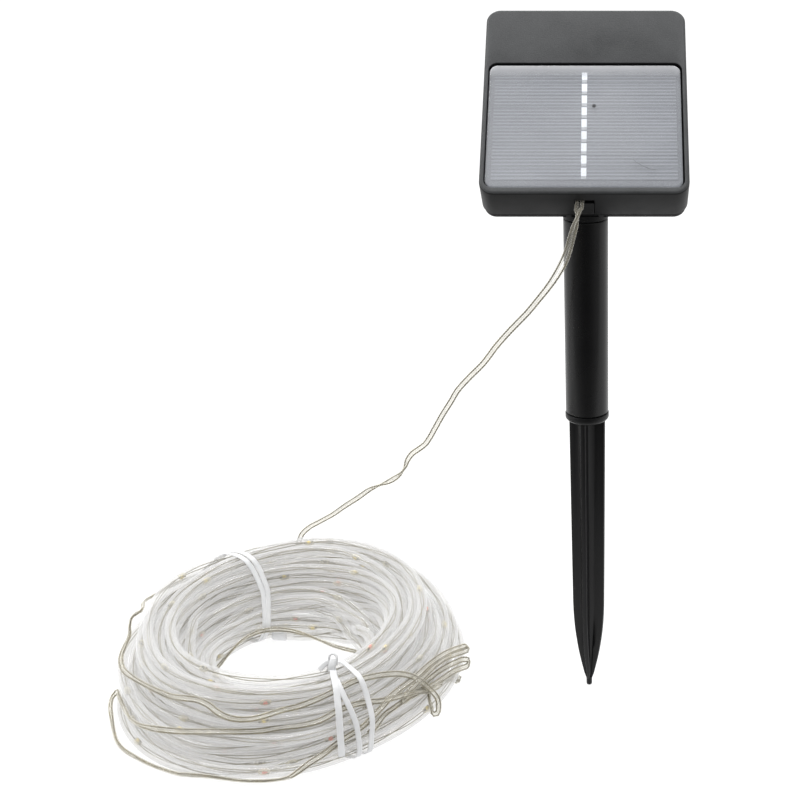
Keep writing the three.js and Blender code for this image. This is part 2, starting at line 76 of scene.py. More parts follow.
def fast_mesh(name, verts, quads, mats, smooth=True, slots=None, tris=None):
    """A large mesh from arrays, all faces smooth."""
    verts = np.asarray(verts, np.float64) * MM
    me = bpy.data.meshes.new(name)
    nq = len(quads)
    nt = 0 if tris is None else len(tris)
    me.vertices.add(len(verts))
    me.vertices.foreach_set("co", verts.astype(np.float32).ravel())
    loops = np.asarray(quads, np.int32).ravel()
    starts = np.arange(nq, dtype=np.int32) * 4
    if nt:
        loops = np.concatenate([loops, np.asarray(tris, np.int32).ravel()])
        starts = np.concatenate([starts, nq * 4 + np.arange(nt, dtype=np.int32) * 3])
    me.loops.add(len(loops))
    me.loops.foreach_set("vertex_index", loops)
    me.polygons.add(nq + nt)
    me.polygons.foreach_set("loop_start", starts)
    if slots is not None:
        me.polygons.foreach_set("material_index", np.asarray(slots, np.int32))
    me.polygons.foreach_set("use_smooth", np.full(nq + nt, smooth))
    me.update(calc_edges=True)
    me.validate()
    ob = bpy.data.objects.new(name, me)
    SCENE.collection.objects.link(ob)
    for m in mats if isinstance(mats, (list, tuple)) else [mats]:
        me.materials.append(m)
    return ob


def finish_obj(name, me, mats, smooth=True, sharp=32.0, slots=None):
    bm = bmesh.new()
    bm.from_mesh(me)
    bmesh.ops.remove_doubles(bm, verts=bm.verts, dist=1e-7)
    bmesh.ops.recalc_face_normals(bm, faces=bm.faces)
    lim = math.radians(sharp)
    for f in bm.faces:
        f.smooth = smooth
    for e in bm.edges:
        e.smooth = not (len(e.link_faces) == 2 and e.calc_face_angle(0.0) > lim)
    bm.to_mesh(me)
    bm.free()
    ob = bpy.data.objects.new(name, me)
    SCENE.collection.objects.link(ob)
    for m in mats if isinstance(mats, (list, tuple)) else [mats]:
        me.materials.append(m)
    if slots is not None and len(slots) == len(me.polygons):
        me.polygons.foreach_set("material_index", np.asarray(slots, np.int32))
    return ob


def boolean(ob, others, op="DIFFERENCE", sharp=32.0):
    for o in others:
        m = ob.modifiers.new("b", "BOOLEAN")
        m.operation, m.solver, m.object = op, "EXACT", o
    dg = bpy.context.evaluated_depsgraph_get()
    me = bpy.data.meshes.new_from_object(ob.evaluated_get(dg))
    ob.modifiers.clear()
    old = ob.data
    mats = [s for s in old.materials]
    ob.data = me
    me.materials.clear()
    for s in mats[:1]:
        me.materials.append(s)
    me.polygons.foreach_set("material_index", np.zeros(len(me.polygons), np.int32))
    bpy.data.meshes.remove(old)
    for o in others:
        d = o.data
        bpy.data.objects.remove(o)
        bpy.data.meshes.remove(d)
    bm = bmesh.new()
    bm.from_mesh(me)
    bmesh.ops.dissolve_degenerate(bm, edges=bm.edges, dist=1e-6)
    lim = math.radians(sharp)
    for f in bm.faces:
        f.smooth = True
    for e in bm.edges:
        e.smooth = not (len(e.link_faces) == 2 and e.calc_face_angle(0.0) > lim)
    bm.to_mesh(me)
    bm.free()
    return ob


def rr(x0, x1, y0, y1, r, seg=10):
    """A rounded rectangle as a closed loop, anticlockwise, with 4 * (seg + 1) points."""
    out = []
    for cx, cy, a0 in ((x1 - r, y0 + r, -90), (x1 - r, y1 - r, 0), (x0 + r, y1 - r, 90), (x0 + r, y0 + r, 180)):
        for i in range(seg + 1):
            a = math.radians(a0 + 90 * i / seg)
            out.append((cx + r * math.cos(a), cy + r * math.sin(a)))
    return out


def rings_mesh(name, rings, mats, place=loc, sharp=32.0, caps=(True, True)):
    """rings: loops of 3-D points of equal length. Bridged in order, the ends closed."""
    k = len(rings[0])
    verts = [place(*p) for ring in rings for p in ring]
    faces = []
    for i in range(len(rings) - 1):
        for j in range(k):
            a, b = i * k + j, i * k + (j + 1) % k
            faces.append((a, b, b + k, a + k))
    if caps[0]:
        faces.append(tuple(range(k))[::-1])
    if caps[1]:
        faces.append(tuple((len(rings) - 1) * k + j for j in range(k)))
    return mesh_obj(name, verts, faces, mats, sharp=sharp)


def plate(name, x0, x1, y0, y1, r, n0, n1, fillet, mats, seg=10, bottom=None, place=loc, steps=4):
    """A rounded plate between two levels with a fillet round its upper and lower edges."""
    bot = fillet if bottom is None else bottom
    rings = []

    def ring(inset, n):
        rings.append([(x, y, n) for x, y in rr(x0 + inset, x1 - inset, y0 + inset, y1 - inset, max(r - inset, 0.05), seg)])

    if bot > 0:
        ring(bot + min(0.6, bot), n0)
        for i in range(steps + 1):
            a = math.pi / 2 * i / steps
            ring(bot * (1 - math.sin(a)), n0 + bot * (1 - math.cos(a)))
    else:
        ring(0, n0)
    if fillet > 0:
        for i in range(steps + 1):
            a = math.pi / 2 * i / steps
            ring(fillet * (1 - math.cos(a)), n1 - fillet * (1 - math.sin(a)))
        ring(fillet + min(0.6, fillet), n1)
    else:
        ring(0, n1)
    return rings_mesh(name, rings, mats, place)


def turned(name, profile, mats, centre=(0, 0), seg=48, place=None, sharp=32.0, closed=False):
    """A body turned about a vertical axis. profile: (radius, height) from one axis end to the other."""
    place = place or (lambda x, y, z: (x, y, z))
    verts, faces = [], []
    rows = []
    for r, z in profile:
        if r < 1e-6:
            rows.append([len(verts)])
            verts.append(place(centre[0], centre[1], z))
        else:
            rows.append(list(range(len(verts), len(verts) + seg)))
            for i in range(seg):
                a = 2 * math.pi * i / seg
                verts.append(place(centre[0] + r * math.cos(a), centre[1] + r * math.sin(a), z))
    pairs = list(zip(rows, rows[1:])) + ([(rows[-1], rows[0])] if closed else [])
    for a, b in pairs:
        for i in range(seg):
            j = (i + 1) % seg
            if len(a) == 1 and len(b) == 1:
                break
            if len(a) == 1:
                faces.append((a[0], b[j], b[i]))
            elif len(b) == 1:
                faces.append((a[i], a[j], b[0]))
            else:
                faces.append((a[i], a[j], b[j], b[i]))
    return mesh_obj(name, verts, faces, mats, sharp=sharp)


def fine(points, step):
    """Resamples a polyline's smooth curve (centripetal-like cubic) to even steps."""
    p = np.asarray(points, float)
    d = np.concatenate([[0], np.cumsum(np.linalg.norm(np.diff(p, axis=0), axis=1))])
    n = max(4, int(round(d[-1] / step)))
    # cubic Hermite with finite-difference tangents on the arc length
    t = np.linspace(0, d[-1], n + 1)
    m = np.zeros_like(p)
    for i in range(len(p)):
        if i == 0:
            m[i] = (p[1] - p[0]) / (d[1] - d[0])
        elif i == len(p) - 1:
            m[i] = (p[-1] - p[-2]) / (d[-1] - d[-2])
        else:
            a, b = d[i] - d[i - 1], d[i + 1] - d[i]
            m[i] = ((p[i] - p[i - 1]) / a * b + (p[i + 1] - p[i]) / b * a) / (a + b)
    k = np.clip(np.searchsorted(d, t, side="right") - 1, 0, len(p) - 2)
    h = (d[k + 1] - d[k])[:, None]
    u = ((t - d[k])[:, None]) / h
    return ((2 * u**3 - 3 * u**2 + 1) * p[k] + (u**3 - 2 * u**2 + u) * h * m[k]
            + (-2 * u**3 + 3 * u**2) * p[k + 1] + (u**3 - u**2) * h * m[k + 1])


def carried(P, up=(0, 0, 1)):
    """Tangents and two cross directions carried along a path without twist."""
    P = np.asarray(P, float)
    T = np.gradient(P, axis=0)
    T /= np.linalg.norm(T, axis=1)[:, None]
    B = np.zeros_like(P)
    b = np.asarray(up, float)
    for i in range(len(P)):
        b = b - T[i] * b.dot(T[i])
        b = b / max(np.linalg.norm(b), 1e-9)
        B[i] = b
    A = np.cross(B, T)
    return T, A, B


def sweep(P, A, B, radius, sides, phase=0.0, flat=None, end_round=True):
    """Vertices and quads of a tube along P with rings in the plane of A and B. radius: number or array."""
    P = np.asarray(P, float)
    n = len(P)
    r = np.broadcast_to(np.asarray(radius, float), (n,))
    ang = phase + np.arange(sides) * 2 * math.pi / sides
    ca, sa = np.cos(ang), np.sin(ang)
    fa, fb = flat if flat else (1.0, 1.0)
    V = (P[:, None, :] + (r[:, None] * ca[None, :] * fa)[:, :, None] * A[:, None, :]
         + (r[:, None] * sa[None, :] * fb)[:, :, None] * B[:, None, :]).reshape(-1, 3)
    i = np.arange(n - 1)[:, None] * sides
    j = np.arange(sides)[None, :]
    k = (j + 1) % sides
    Q = np.stack([i + j, i + k, i + sides + k, i + sides + j], -1).reshape(-1, 4)
    return V, Q


def fans(base, sides, centre_first, centre_last, last_ring):
    t = []
    for j in range(sides):
        k = (j + 1) % sides
        t.append((centre_first, base + k, base + j))
        t.append((centre_last, last_ring + j, last_ring + k))
    return t


def solid_tube(P, A, B, radius, sides, phase=0.0, flat=None):
    """A closed rod: vertices, quads, triangles."""
    V, Q = sweep(P, A, B, radius, sides, phase, flat)
    n = len(P)
    V = np.concatenate([V, P[:1], P[-1:]])
    T = fans(0, sides, n * sides, n * sides + 1, (n - 1) * sides)
    return V, Q, np.array(T)


class Pile:
    """Collects closed rods and the like into one mesh."""

    def __init__(self):
        self.v, self.q, self.t, self.n, self.qs, self.ts = [], [], [], 0, [], []

    def add(self, V, Q, T=None, slot=0):
        self.v.append(V)
        self.q.append(np.asarray(Q) + self.n)
        self.qs.append(np.full(len(Q), slot))
        if T is not None and len(T):
            self.t.append(np.asarray(T) + self.n)
            self.ts.append(np.full(len(T), slot))
        self.n += len(V)

    def build(self, name, mats):
        t = np.concatenate(self.t) if self.t else None
        s = np.concatenate(self.qs + self.ts) if self.ts else np.concatenate(self.qs)
        return fast_mesh(name, np.concatenate(self.v), np.concatenate(self.q), mats, True, s, t)


# ------------------------------------------------------------------ materials
def new_mat(name):
    m = bpy.data.materials.new(name)
    m.use_nodes = True
    nt = m.node_tree
    nt.nodes.clear()
    out = nt.nodes.new("ShaderNodeOutputMaterial")
    return m, nt, out


def node(nt, kind, **kw):
    n = nt.nodes.new(kind)
    for k, v in kw.items():
        if k in n.inputs.keys():
            n.inputs[k].default_value = v
        else:
            setattr(n, k, v)
    return n


def coords(nt):
    return node(nt, "ShaderNodeTexCoord").outputs["Object"]


def mapping(nt, vec, scale=(1, 1, 1), rot=(0, 0, 0), loc_=(0, 0, 0)):
    m = node(nt, "ShaderNodeMapping")
    m.inputs["Scale"].default_value = scale
    m.inputs["Rotation"].default_value = rot
    m.inputs["Location"].default_value = loc_
    nt.links.new(vec, m.inputs["Vector"])
    return m.outputs["Vector"]


def noise(nt, vec, scale, detail=3.0, rough=0.55, dist=0.0):
    n = node(nt, "ShaderNodeTexNoise")
    n.inputs["Scale"].default_value = scale
    n.inputs["Detail"].default_value = detail
    n.inputs["Roughness"].default_value = rough
    n.inputs["Distortion"].default_value = dist
    nt.links.new(vec, n.inputs["Vector"])
    return n.outputs["Fac"]


def ramp(nt, fac, stops):
    r = node(nt, "ShaderNodeValToRGB")
    el = r.color_ramp.elements
    while len(el) < len(stops):
        el.new(0.5)
    for e, (p, c) in zip(el, stops):
        e.position = p
        e.color = (*c, 1) if len(c) == 3 else c
    nt.links.new(fac, r.inputs["Fac"])
    return r.outputs["Color"]


def maprange(nt, v, a, b, c, d):
    m = node(nt, "ShaderNodeMapRange")
    m.inputs["From Min"].default_value, m.inputs["From Max"].default_value = a, b
    m.inputs["To Min"].default_value, m.inputs["To Max"].default_value = c, d
    nt.links.new(v, m.inputs["Value"])
    return m.outputs["Result"]


def maths(nt, op, a, b=None, clamp=False):
    m = node(nt, "ShaderNodeMath")
    m.operation = op
    m.use_clamp = clamp
    for i, x in enumerate((a, b)):
        if x is None:
            continue
        if isinstance(x, (int, float)):
            m.inputs[i].default_value = x
        else:
            nt.links.new(x, m.inputs[i])
    return m.outputs[0]


def bump(nt, height, strength, distance):
    b = node(nt, "ShaderNodeBump")
    b.inputs["Strength"].default_value = strength
    b.inputs["Distance"].default_value = distance
    nt.links.new(height, b.inputs["Height"])
    return b.outputs["Normal"]


def plastic(name, lo, hi, rough=(0.5, 0.62), grain=2200.0, grain_mm=0.03, spec=0.35, blotch=60.0, strength=0.6):
    """Moulded plastic: fine grain, slow colour and roughness drift."""
    m, nt, out = new_mat(name)
    p = node(nt, "ShaderNodeBsdfPrincipled")
    v = coords(nt)
    fine_n = noise(nt, v, grain, 2.0, 0.6)
    slow = noise(nt, v, blotch, 4.0, 0.6)
    mixed = maths(nt, "ADD", maths(nt, "MULTIPLY", fine_n, 0.45), maths(nt, "MULTIPLY", slow, 0.55))
    nt.links.new(ramp(nt, mixed, [(0.3, lo), (0.7, hi)]), p.inputs["Base Color"])
    nt.links.new(maprange(nt, slow, 0.3, 0.7, rough[0], rough[1]), p.inputs["Roughness"])
    p.inputs["Specular IOR Level"].default_value = spec
    nt.links.new(bump(nt, fine_n, strength, grain_mm * MM), p.inputs["Normal"])
    nt.links.new(p.outputs[0], out.inputs["Surface"])
    return m


def metal(name, col, rough=0.35, brushed=900.0):
    m, nt, out = new_mat(name)
    p = node(nt, "ShaderNodeBsdfPrincipled")
    v = coords(nt)
    n1 = noise(nt, v, brushed, 3.0)
    n2 = noise(nt, v, 120.0, 3.0)
    nt.links.new(ramp(nt, n2, [(0.3, tuple(c * 0.75 for c in col)), (0.7, col)]), p.inputs["Base Color"])
    nt.links.new(maprange(nt, n1, 0.3, 0.7, rough - 0.08, rough + 0.12), p.inputs["Roughness"])
    p.inputs["Metallic"].default_value = 1.0
    nt.links.new(bump(nt, n1, 0.3, 0.01 * MM), p.inputs["Normal"])
    nt.links.new(p.outputs[0], out.inputs["Surface"])
    return m


def see_through(name, base, low, high, rough=0.1, tint=(1, 1, 1), spec=0.5, power=2.0, streak=None, bump_mm=0.0):
    """Soft clear plastic: shows what is behind it face on, and its own pale body and shine at grazing angles."""
    m, nt, out = new_mat(name)
    p = node(nt, "ShaderNodeBsdfPrincipled")
    v = coords(nt)
    slow = noise(nt, v, 90.0, 4.0, 0.6)
    nt.links.new(ramp(nt, slow, [(0.3, tuple(c * 0.93 for c in base)), (0.7, base)]), p.inputs["Base Color"])
    nt.links.new(maprange(nt, slow, 0.3, 0.7, rough * 0.7, rough * 1.5), p.inputs["Roughness"])
    p.inputs["Specular IOR Level"].default_value = spec
    if bump_mm:
        nt.links.new(bump(nt, noise(nt, v, 500.0, 3.0), 0.5, bump_mm * MM), p.inputs["Normal"])
    t = node(nt, "ShaderNodeBsdfTransparent")
    t.inputs["Color"].default_value = (*tint, 1)
    lw = node(nt, "ShaderNodeLayerWeight")
    lw.inputs["Blend"].default_value = 0.5
    edge = maths(nt, "POWER", lw.outputs["Facing"], power)
    fac = maths(nt, "ADD", maths(nt, "MULTIPLY", edge, high - low), low)
    fac = maths(nt, "ADD", fac, maprange(nt, slow, 0.3, 0.7, -0.05, 0.05), clamp=True)
    mix = node(nt, "ShaderNodeMixShader")
    nt.links.new(fac, mix.inputs["Fac"])
    nt.links.new(t.outputs[0], mix.inputs[1])
    nt.links.new(p.outputs[0], mix.inputs[2])
    nt.links.new(mix.outputs[0], out.inputs["Surface"])
    return m


# painted sheen: the grained top gets a base colour several times lighter than the walls' black, standing for the sheen
# the light gives it; its grain is the real finish
M_TOP = plastic("black_grained_top_painted_sheen", (0.034, 0.0355, 0.037), (0.074, 0.0765, 0.079), (0.48, 0.62), 1500.0, 0.10, 0.30, 45.0, 0.9)
M_SIDE = plastic("black_housing_side", (0.0055, 0.0057, 0.006), (0.010, 0.0103, 0.0108), (0.40, 0.52), 1800.0, 0.04, 0.11, 45.0, 0.5)
M_TUBE = plastic("black_stake_tube", (0.0045, 0.0045, 0.0048), (0.0075, 0.0075, 0.0078), (0.22, 0.32), 1200.0, 0.02, 0.26, 30.0, 0.35)
M_SPIKE = plastic("black_spike", (0.0040, 0.0040, 0.0043), (0.0072, 0.0072, 0.0076), (0.28, 0.40), 900.0, 0.03, 0.20, 30.0, 0.5)
M_BASE = plastic("black_base", (0.0055, 0.0057, 0.006), (0.010, 0.0103, 0.0108), (0.40, 0.54), 1800.0, 0.05, 0.13, 45.0, 0.6)
M_RUBBER = plastic("black_rubber", (0.014, 0.014, 0.015), (0.022, 0.022, 0.023), (0.65, 0.8), 2500.0, 0.03, 0.25, 80.0, 0.6)
M_SCREW = metal("screw_steel_surface", (0.55, 0.55, 0.57))
M_CONTACT = metal("contact_nickel", (0.68, 0.67, 0.64), 0.28)
M_WRAP = plastic("battery_sleeve", (0.05, 0.14, 0.30), (0.07, 0.18, 0.37), (0.25, 0.35), 600.0, 0.01, 0.5, 40.0, 0.3)
M_BOARD = plastic("board_green", (0.012, 0.09, 0.03), (0.02, 0.14, 0.05), (0.3, 0.4), 900.0, 0.02, 0.5, 150.0, 0.4)
M_SWITCH = plastic("switch_body", (0.02, 0.02, 0.022), (0.035, 0.035, 0.037), (0.5, 0.6), 1500.0, 0.02, 0.4, 60.0, 0.4)
M_RED = plastic("wire_red", (0.28, 0.015, 0.012), (0.38, 0.025, 0.02), (0.35, 0.45), 900.0, 0.01, 0.5, 80.0, 0.3)

CAD_LOOK = {
    "case_gasket": M_RUBBER, "case_screw_1": M_SCREW, "case_screw_2": M_SCREW, "case_screw_3": M_SCREW, "case_screw_4": M_SCREW,
    "battery_door_screw": M_SCREW, "battery_cell": M_WRAP, "battery_contact_plate": M_CONTACT, "battery_contact_spring": M_CONTACT,
    "circuit_board": M_BOARD, "power_switch": M_SWITCH, "mode_switch": M_SWITCH, "panel_wire": M_RED, "battery_wire_red": M_RED,
    "battery_wire_black": M_RUBBER,
}
for n_, m_ in CAD_LOOK.items():
    o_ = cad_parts[n_]
    if len(o_.material_slots) == 0:
        o_.data.materials.append(m_)
    for s_ in o_.material_slots:
        s_.link = "OBJECT"
        s_.material = m_


def put(ob, body, *nodes, slot=None):
    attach(ob, body)
    if nodes:
        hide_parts(*nodes)
    return ob


# ------------------------------------------------------------------ housing
def box_cut(x0, x1, y0, y1, z0, z1, r=0.4):
    rings = [[(x, n) for x, n in rr(x0, x1, z0, z1, r, 3)]]
    a = [(x, y0, n) for x, n in rings[0]]
    b = [(x, y1, n) for x, n in rings[0]]
    return rings_mesh("cut", [a, b], M_SIDE)


# top cover: one shell, skirt and fillets, with the recess for the panel
rings = []


def ring(x0, x1, y0, y1, r, n):
    rings.append([(x, y, n) for x, y in rr(x0, x1, y0, y1, max(r, 0.3), 12)])


def inset(d, n):
    ring(-HW + d, HW - d, d, HL - d, HR - d, n)


def recess(d, n):
    ring(-PX - d, PX + d, PS0 - d, PS1 + d, PR + d, n)


inset(2.2, -5.0)
inset(2.2, -19.8)
inset(2.0, -20.0)
inset(0.35, -20.0)
inset(0.1, -19.9)
inset(0.0, -19.6)
inset(0.0, -1.9)
for i in range(7):
    a = math.pi / 2 * i / 6
    inset(1.35 * (1 - math.cos(a)), -1.35 + 1.35 * math.sin(a))
inset(1.6, 0.0)
for i in range(4):
    a = math.pi / 2 * i / 3
    recess(0.45 * (1 - math.sin(a)), -0.45 + 0.45 * math.cos(a))
recess(0.0, -2.6)
recess(-0.6, -3.2)
cover = rings_mesh("top_cover_shell", rings, M_SIDE, sharp=40)
boolean(cover, [box_cut(-5.2, 5.2, -2, 2.9, -30, -6.6, 0.7)], sharp=40)
# the upper face and its rim get the grained grey-black, whose lighter colour is partly its real grain and partly
# painted sheen; the walls are darker
cover.data.materials.append(M_TOP)
nrm = Vector((0, -C45, C45))
for f in cover.data.polygons:
    c = f.center / MM
    n_level = -C45 * (c.y - EDGE[0]) + C45 * (c.z - EDGE[1])
    if f.normal.dot(nrm) > 0.55 and n_level > -1.2:
        f.material_index = 1
put(cover, "solar_housing", "top_cover", slot="housing_plastic")

# solar cell board: pale board, nine cell strips, finger lines and the dashed ribbon
def panel_material():
    m, nt, out = new_mat("solar_cell_strip")
    p = node(nt, "ShaderNodeBsdfPrincipled")
    v = coords(nt)
    # height up the slope, in metres
    sep = node(nt, "ShaderNodeSeparateXYZ")
    nt.links.new(v, sep.inputs[0])
    s = maths(nt, "ADD", maths(nt, "MULTIPLY", sep.outputs["Y"], C45), maths(nt, "MULTIPLY", sep.outputs["Z"], C45))
    s0 = (EDGE[0] * C45 + EDGE[1] * C45) * MM
    s = maths(nt, "SUBTRACT", s, s0)
    # fine finger lines, 2.05 mm apart
    ph = maths(nt, "FRACT", maths(nt, "DIVIDE", maths(nt, "SUBTRACT", s, 0.00706), 0.002047))
    line = maths(nt, "LESS_THAN", maths(nt, "ABSOLUTE", maths(nt, "SUBTRACT", ph, 0.5)), 0.17)
    vs = mapping(nt, v, (18, 160, 160))
    streak = noise(nt, vs, 6.0, 4.0, 0.6)
    blot = noise(nt, v, 38.0, 3.0, 0.5)
    base = ramp(nt, maths(nt, "ADD", maths(nt, "MULTIPLY", streak, 0.6), maths(nt, "MULTIPLY", blot, 0.4)),
                [(0.32, (0.172, 0.175, 0.180)), (0.68, (0.238, 0.242, 0.249))])
    mix = node(nt, "ShaderNodeMix", data_type="RGBA")
    nt.links.new(maths(nt, "MULTIPLY", line, 0.55), mix.inputs["Factor"])
    nt.links.new(base, mix.inputs["A"])
    mix.inputs["B"].default_value = (0.46, 0.47, 0.48, 1)
    painted_light_tone = node(nt, "ShaderNodeMix", data_type="RGBA", blend_type="MULTIPLY")
    painted_light_tone.inputs["Factor"].default_value = 1.0
    nt.links.new(mix.outputs["Result"], painted_light_tone.inputs["A"])
    # painted light and shade: the cell colour is made 17% brighter at the lower edge, fading to 5% darker at the top
    painted_light_slope = maprange(nt, s, 0.008, 0.076, 1.17, 0.95)
    gray = node(nt, "ShaderNodeCombineXYZ")
    for i_ in range(3):
        nt.links.new(painted_light_slope, gray.inputs[i_])
    nt.links.new(gray.outputs[0], painted_light_tone.inputs["B"])
    nt.links.new(painted_light_tone.outputs["Result"], p.inputs["Base Color"])
    p.inputs["Roughness"].default_value = 0.45
    nt.links.new(p.outputs[0], out.inputs["Surface"])
    return m


M_CELL = panel_material()
M_CARD = plastic("panel_board_pale", (0.17, 0.175, 0.183), (0.23, 0.236, 0.245), (0.5, 0.6), 700.0, 0.01, 0.4, 60.0, 0.3)
M_RIBBON = plastic("tinned_ribbon_painted_glow", (0.93, 0.93, 0.92), (1.0, 1.0, 1.0), (0.3, 0.4), 500.0, 0.01, 0.5, 100.0, 0.3)
# painted light: an emission makes the tinned ribbon glow brighter than its lighting gives
for n_ in M_RIBBON.node_tree.nodes:
    if n_.type == "BSDF_PRINCIPLED":
        n_.inputs["Emission Color"].default_value = (1, 1, 1, 1)
        n_.inputs["Emission Strength"].default_value = 0.35

board = plate("solar_board", -PX + 0.8, PX - 0.8, PS0 + 0.8, PS1 - 0.8, PR - 0.6, -2.9, -2.25, 0.12, M_CARD, steps=2)
put(board, "solar_housing", "solar_cell_board", slot="solar_cell")
pile = []
M_TAB = plastic("solder_tab", (0.62, 0.62, 0.60), (0.74, 0.74, 0.72), (0.35, 0.45), 700.0, 0.02, 0.5, 100.0, 0.3)
for i in range(9):
    s0 = 8.9 + i * 7.344
    c = plate(f"solar_cell_strip_{i + 1}", -46.8, 46.8, s0 + 0.07, s0 + 7.27, 0.25, -2.22, -2.02, 0.0, M_CELL, seg=2)
    r = plate(f"ribbon_dash_{i + 1}", -1.78, 0.98, s0 + 2.35, s0 + 7.25, 0.15, -2.0, -1.86, 0.05, M_RIBBON, seg=2, steps=1)
    t = plate(f"ribbon_tab_{i + 1}", -1.70, 0.90, s0 + 0.55, s0 + 2.30, 0.15, -2.0, -1.89, 0.04, M_TAB, seg=2, steps=1)
    pile += [c, r, t]
for o in pile:
    put(o, "solar_housing", slot="solar_cell")

# resin: a cast slab with domed edges, a trapped bubble and a faint scratch
def resin_material():
    m, nt, out = new_mat("cast_resin")
    p = node(nt, "ShaderNodeBsdfPrincipled")
    v = coords(nt)
    slow = noise(nt, v, 25.0, 3.0, 0.5)
    nt.links.new(ramp(nt, slow, [(0.3, (0.57, 0.58, 0.60)), (0.7, (0.66, 0.67, 0.69))]), p.inputs["Base Color"])
    nt.links.new(maprange(nt, slow, 0.3, 0.7, 0.16, 0.26), p.inputs["Roughness"])
    p.inputs["Specular IOR Level"].default_value = 0.45
    nt.links.new(bump(nt, noise(nt, v, 30.0, 1.0), 0.15, 0.10 * MM), p.inputs["Normal"])
    t = node(nt, "ShaderNodeBsdfTransparent")
    t.inputs["Color"].default_value = (0.97, 0.98, 1.0, 1)
    lw = node(nt, "ShaderNodeLayerWeight")
    lw.inputs["Blend"].default_value = 0.5
    # the slab is less see-through at its sides and lower border, outside the cell, and much less over its top few
    # millimetres
    sep = node(nt, "ShaderNodeSeparateXYZ")
    nt.links.new(v, sep.inputs[0])
    s = maths(nt, "ADD", maths(nt, "MULTIPLY", sep.outputs["Y"], C45), maths(nt, "MULTIPLY", sep.outputs["Z"], C45))
    s = maths(nt, "SUBTRACT", s, (EDGE[0] * C45 + EDGE[1] * C45) * MM)
    ex = maprange(nt, maths(nt, "ABSOLUTE", sep.outputs["X"]), 0.0445, 0.0478, 0.0, 1.0)
    e1 = maprange(nt, s, 0.0095, 0.0060, 0.0, 1.0)
    e2 = maprange(nt, s, 0.0705, 0.0762, 0.0, 1.0)
    haze = maprange(nt, noise(nt, v, 14.0, 2.0, 0.5), 0.35, 0.65, -0.05, 0.06)
    fac = maths(nt, "ADD", maths(nt, "ADD", maths(nt, "MULTIPLY", maths(nt, "MAXIMUM", ex, e1), 0.05), maths(nt, "MULTIPLY", e2, 0.34)), 0.17)
    fac = maths(nt, "ADD", fac, haze)
    fac = maths(nt, "ADD", fac, maths(nt, "MULTIPLY", maths(nt, "POWER", lw.outputs["Facing"], 3.0), 0.5), clamp=True)
    mix = node(nt, "ShaderNodeMixShader")
    nt.links.new(fac, mix.inputs["Fac"])
    nt.links.new(t.outputs[0], mix.inputs[1])
    nt.links.new(p.outputs[0], mix.inputs[2])
    nt.links.new(mix.outputs[0], out.inputs["Surface"])
    return m


M_RESIN = resin_material()
rings = []
ring(-PX + 0.5, PX - 0.9, PS0 + 0.5, PS1 - 1.2, PR - 0.3, -1.8)
for d, n in ((0.0, -1.0), (0.08, -0.68), (0.3, -0.46), (0.7, -0.34), (1.3, -0.27), (2.3, -0.22), (4.0, -0.19)):
    ring(-PX + 0.5 + d, PX - 0.9 - d, PS0 + 0.5 + d, PS1 - 1.2 - d, PR - 0.3 - min(d, PR - 1.3), n)
resin = rings_mesh("resin_slab", rings, M_RESIN, sharp=50)
put(resin, "solar_housing", "panel_resin", slot="clear_resin")
# the small bubble in the resin
M_DARK = plastic("dark_spot", (0.02, 0.022, 0.026), (0.05, 0.052, 0.056), (0.4, 0.5), 900.0, 0.01, 0.4, 200.0, 0.3)
bub = turned("resin_bubble", [(0, -0.70), (0.75, -0.64), (1.15, -0.42), (1.05, -0.22), (0.6, -0.10), (0, -0.06)], M_DARK, centre=(4.6, 52.6), seg=16, place=loc)
put(bub, "solar_housing", slot="clear_resin")
# a faint curved scratch in its surface
sc = fine(np.array([loc(24.2, 20.6, -0.20), loc(26.4, 18.2, -0.19), loc(29.6, 16.0, -0.19), loc(33.0, 14.4, -0.19), loc(36.2, 13.6, -0.20)]), 0.8)
T_s, A_s, B_s = carried(sc, (0, 0, 1))
pl = Pile()
pl.add(*solid_tube(sc, A_s, B_s, 0.10 + 0.06 * np.sin(np.linspace(0, math.pi, len(sc))), 6))
ob = pl.build("resin_scratch", plastic("scratch_grey", (0.16, 0.165, 0.175), (0.22, 0.225, 0.235), (0.4, 0.5), 900.0, 0.01, 0.4, 200.0, 0.3))
put(ob, "solar_housing", slot="clear_resin")

# grommet with its tab, in the outlet of the front wall
tab = plate("outlet_tab", -4.75, 4.75, -19.7, -9.9, 0.5, -2.5, -0.25, 0.25, M_SIDE, seg=3, steps=2,
            place=lambda x, y, z: loc(x, -z, y))
back = plate("outlet_seal", -6.0, 6.0, -20.2, -5.6, 0.8, -4.6, -3.0, 0.2, M_RUBBER, seg=3, steps=2,
             place=lambda x, y, z: loc(x, -z, y))
put(tab, "solar_housing", "outlet_grommet", slot="black_rubber")
put(back, "solar_housing", "outlet_grommet", slot="black_rubber")

# base cover: plate, flared stake socket and spigot, door recess, screw pockets, button holes, front notches
base = plate("base_plate", -HW + 0.8, HW - 0.8, 0.8, HL - 0.8, HR - 0.8, -HT, -21.2, 0.3, M_BASE, seg=12, bottom=1.1)


def upright_cyl(name, prof, seg=56):
    return turned(name, prof, M_BASE, seg=seg)


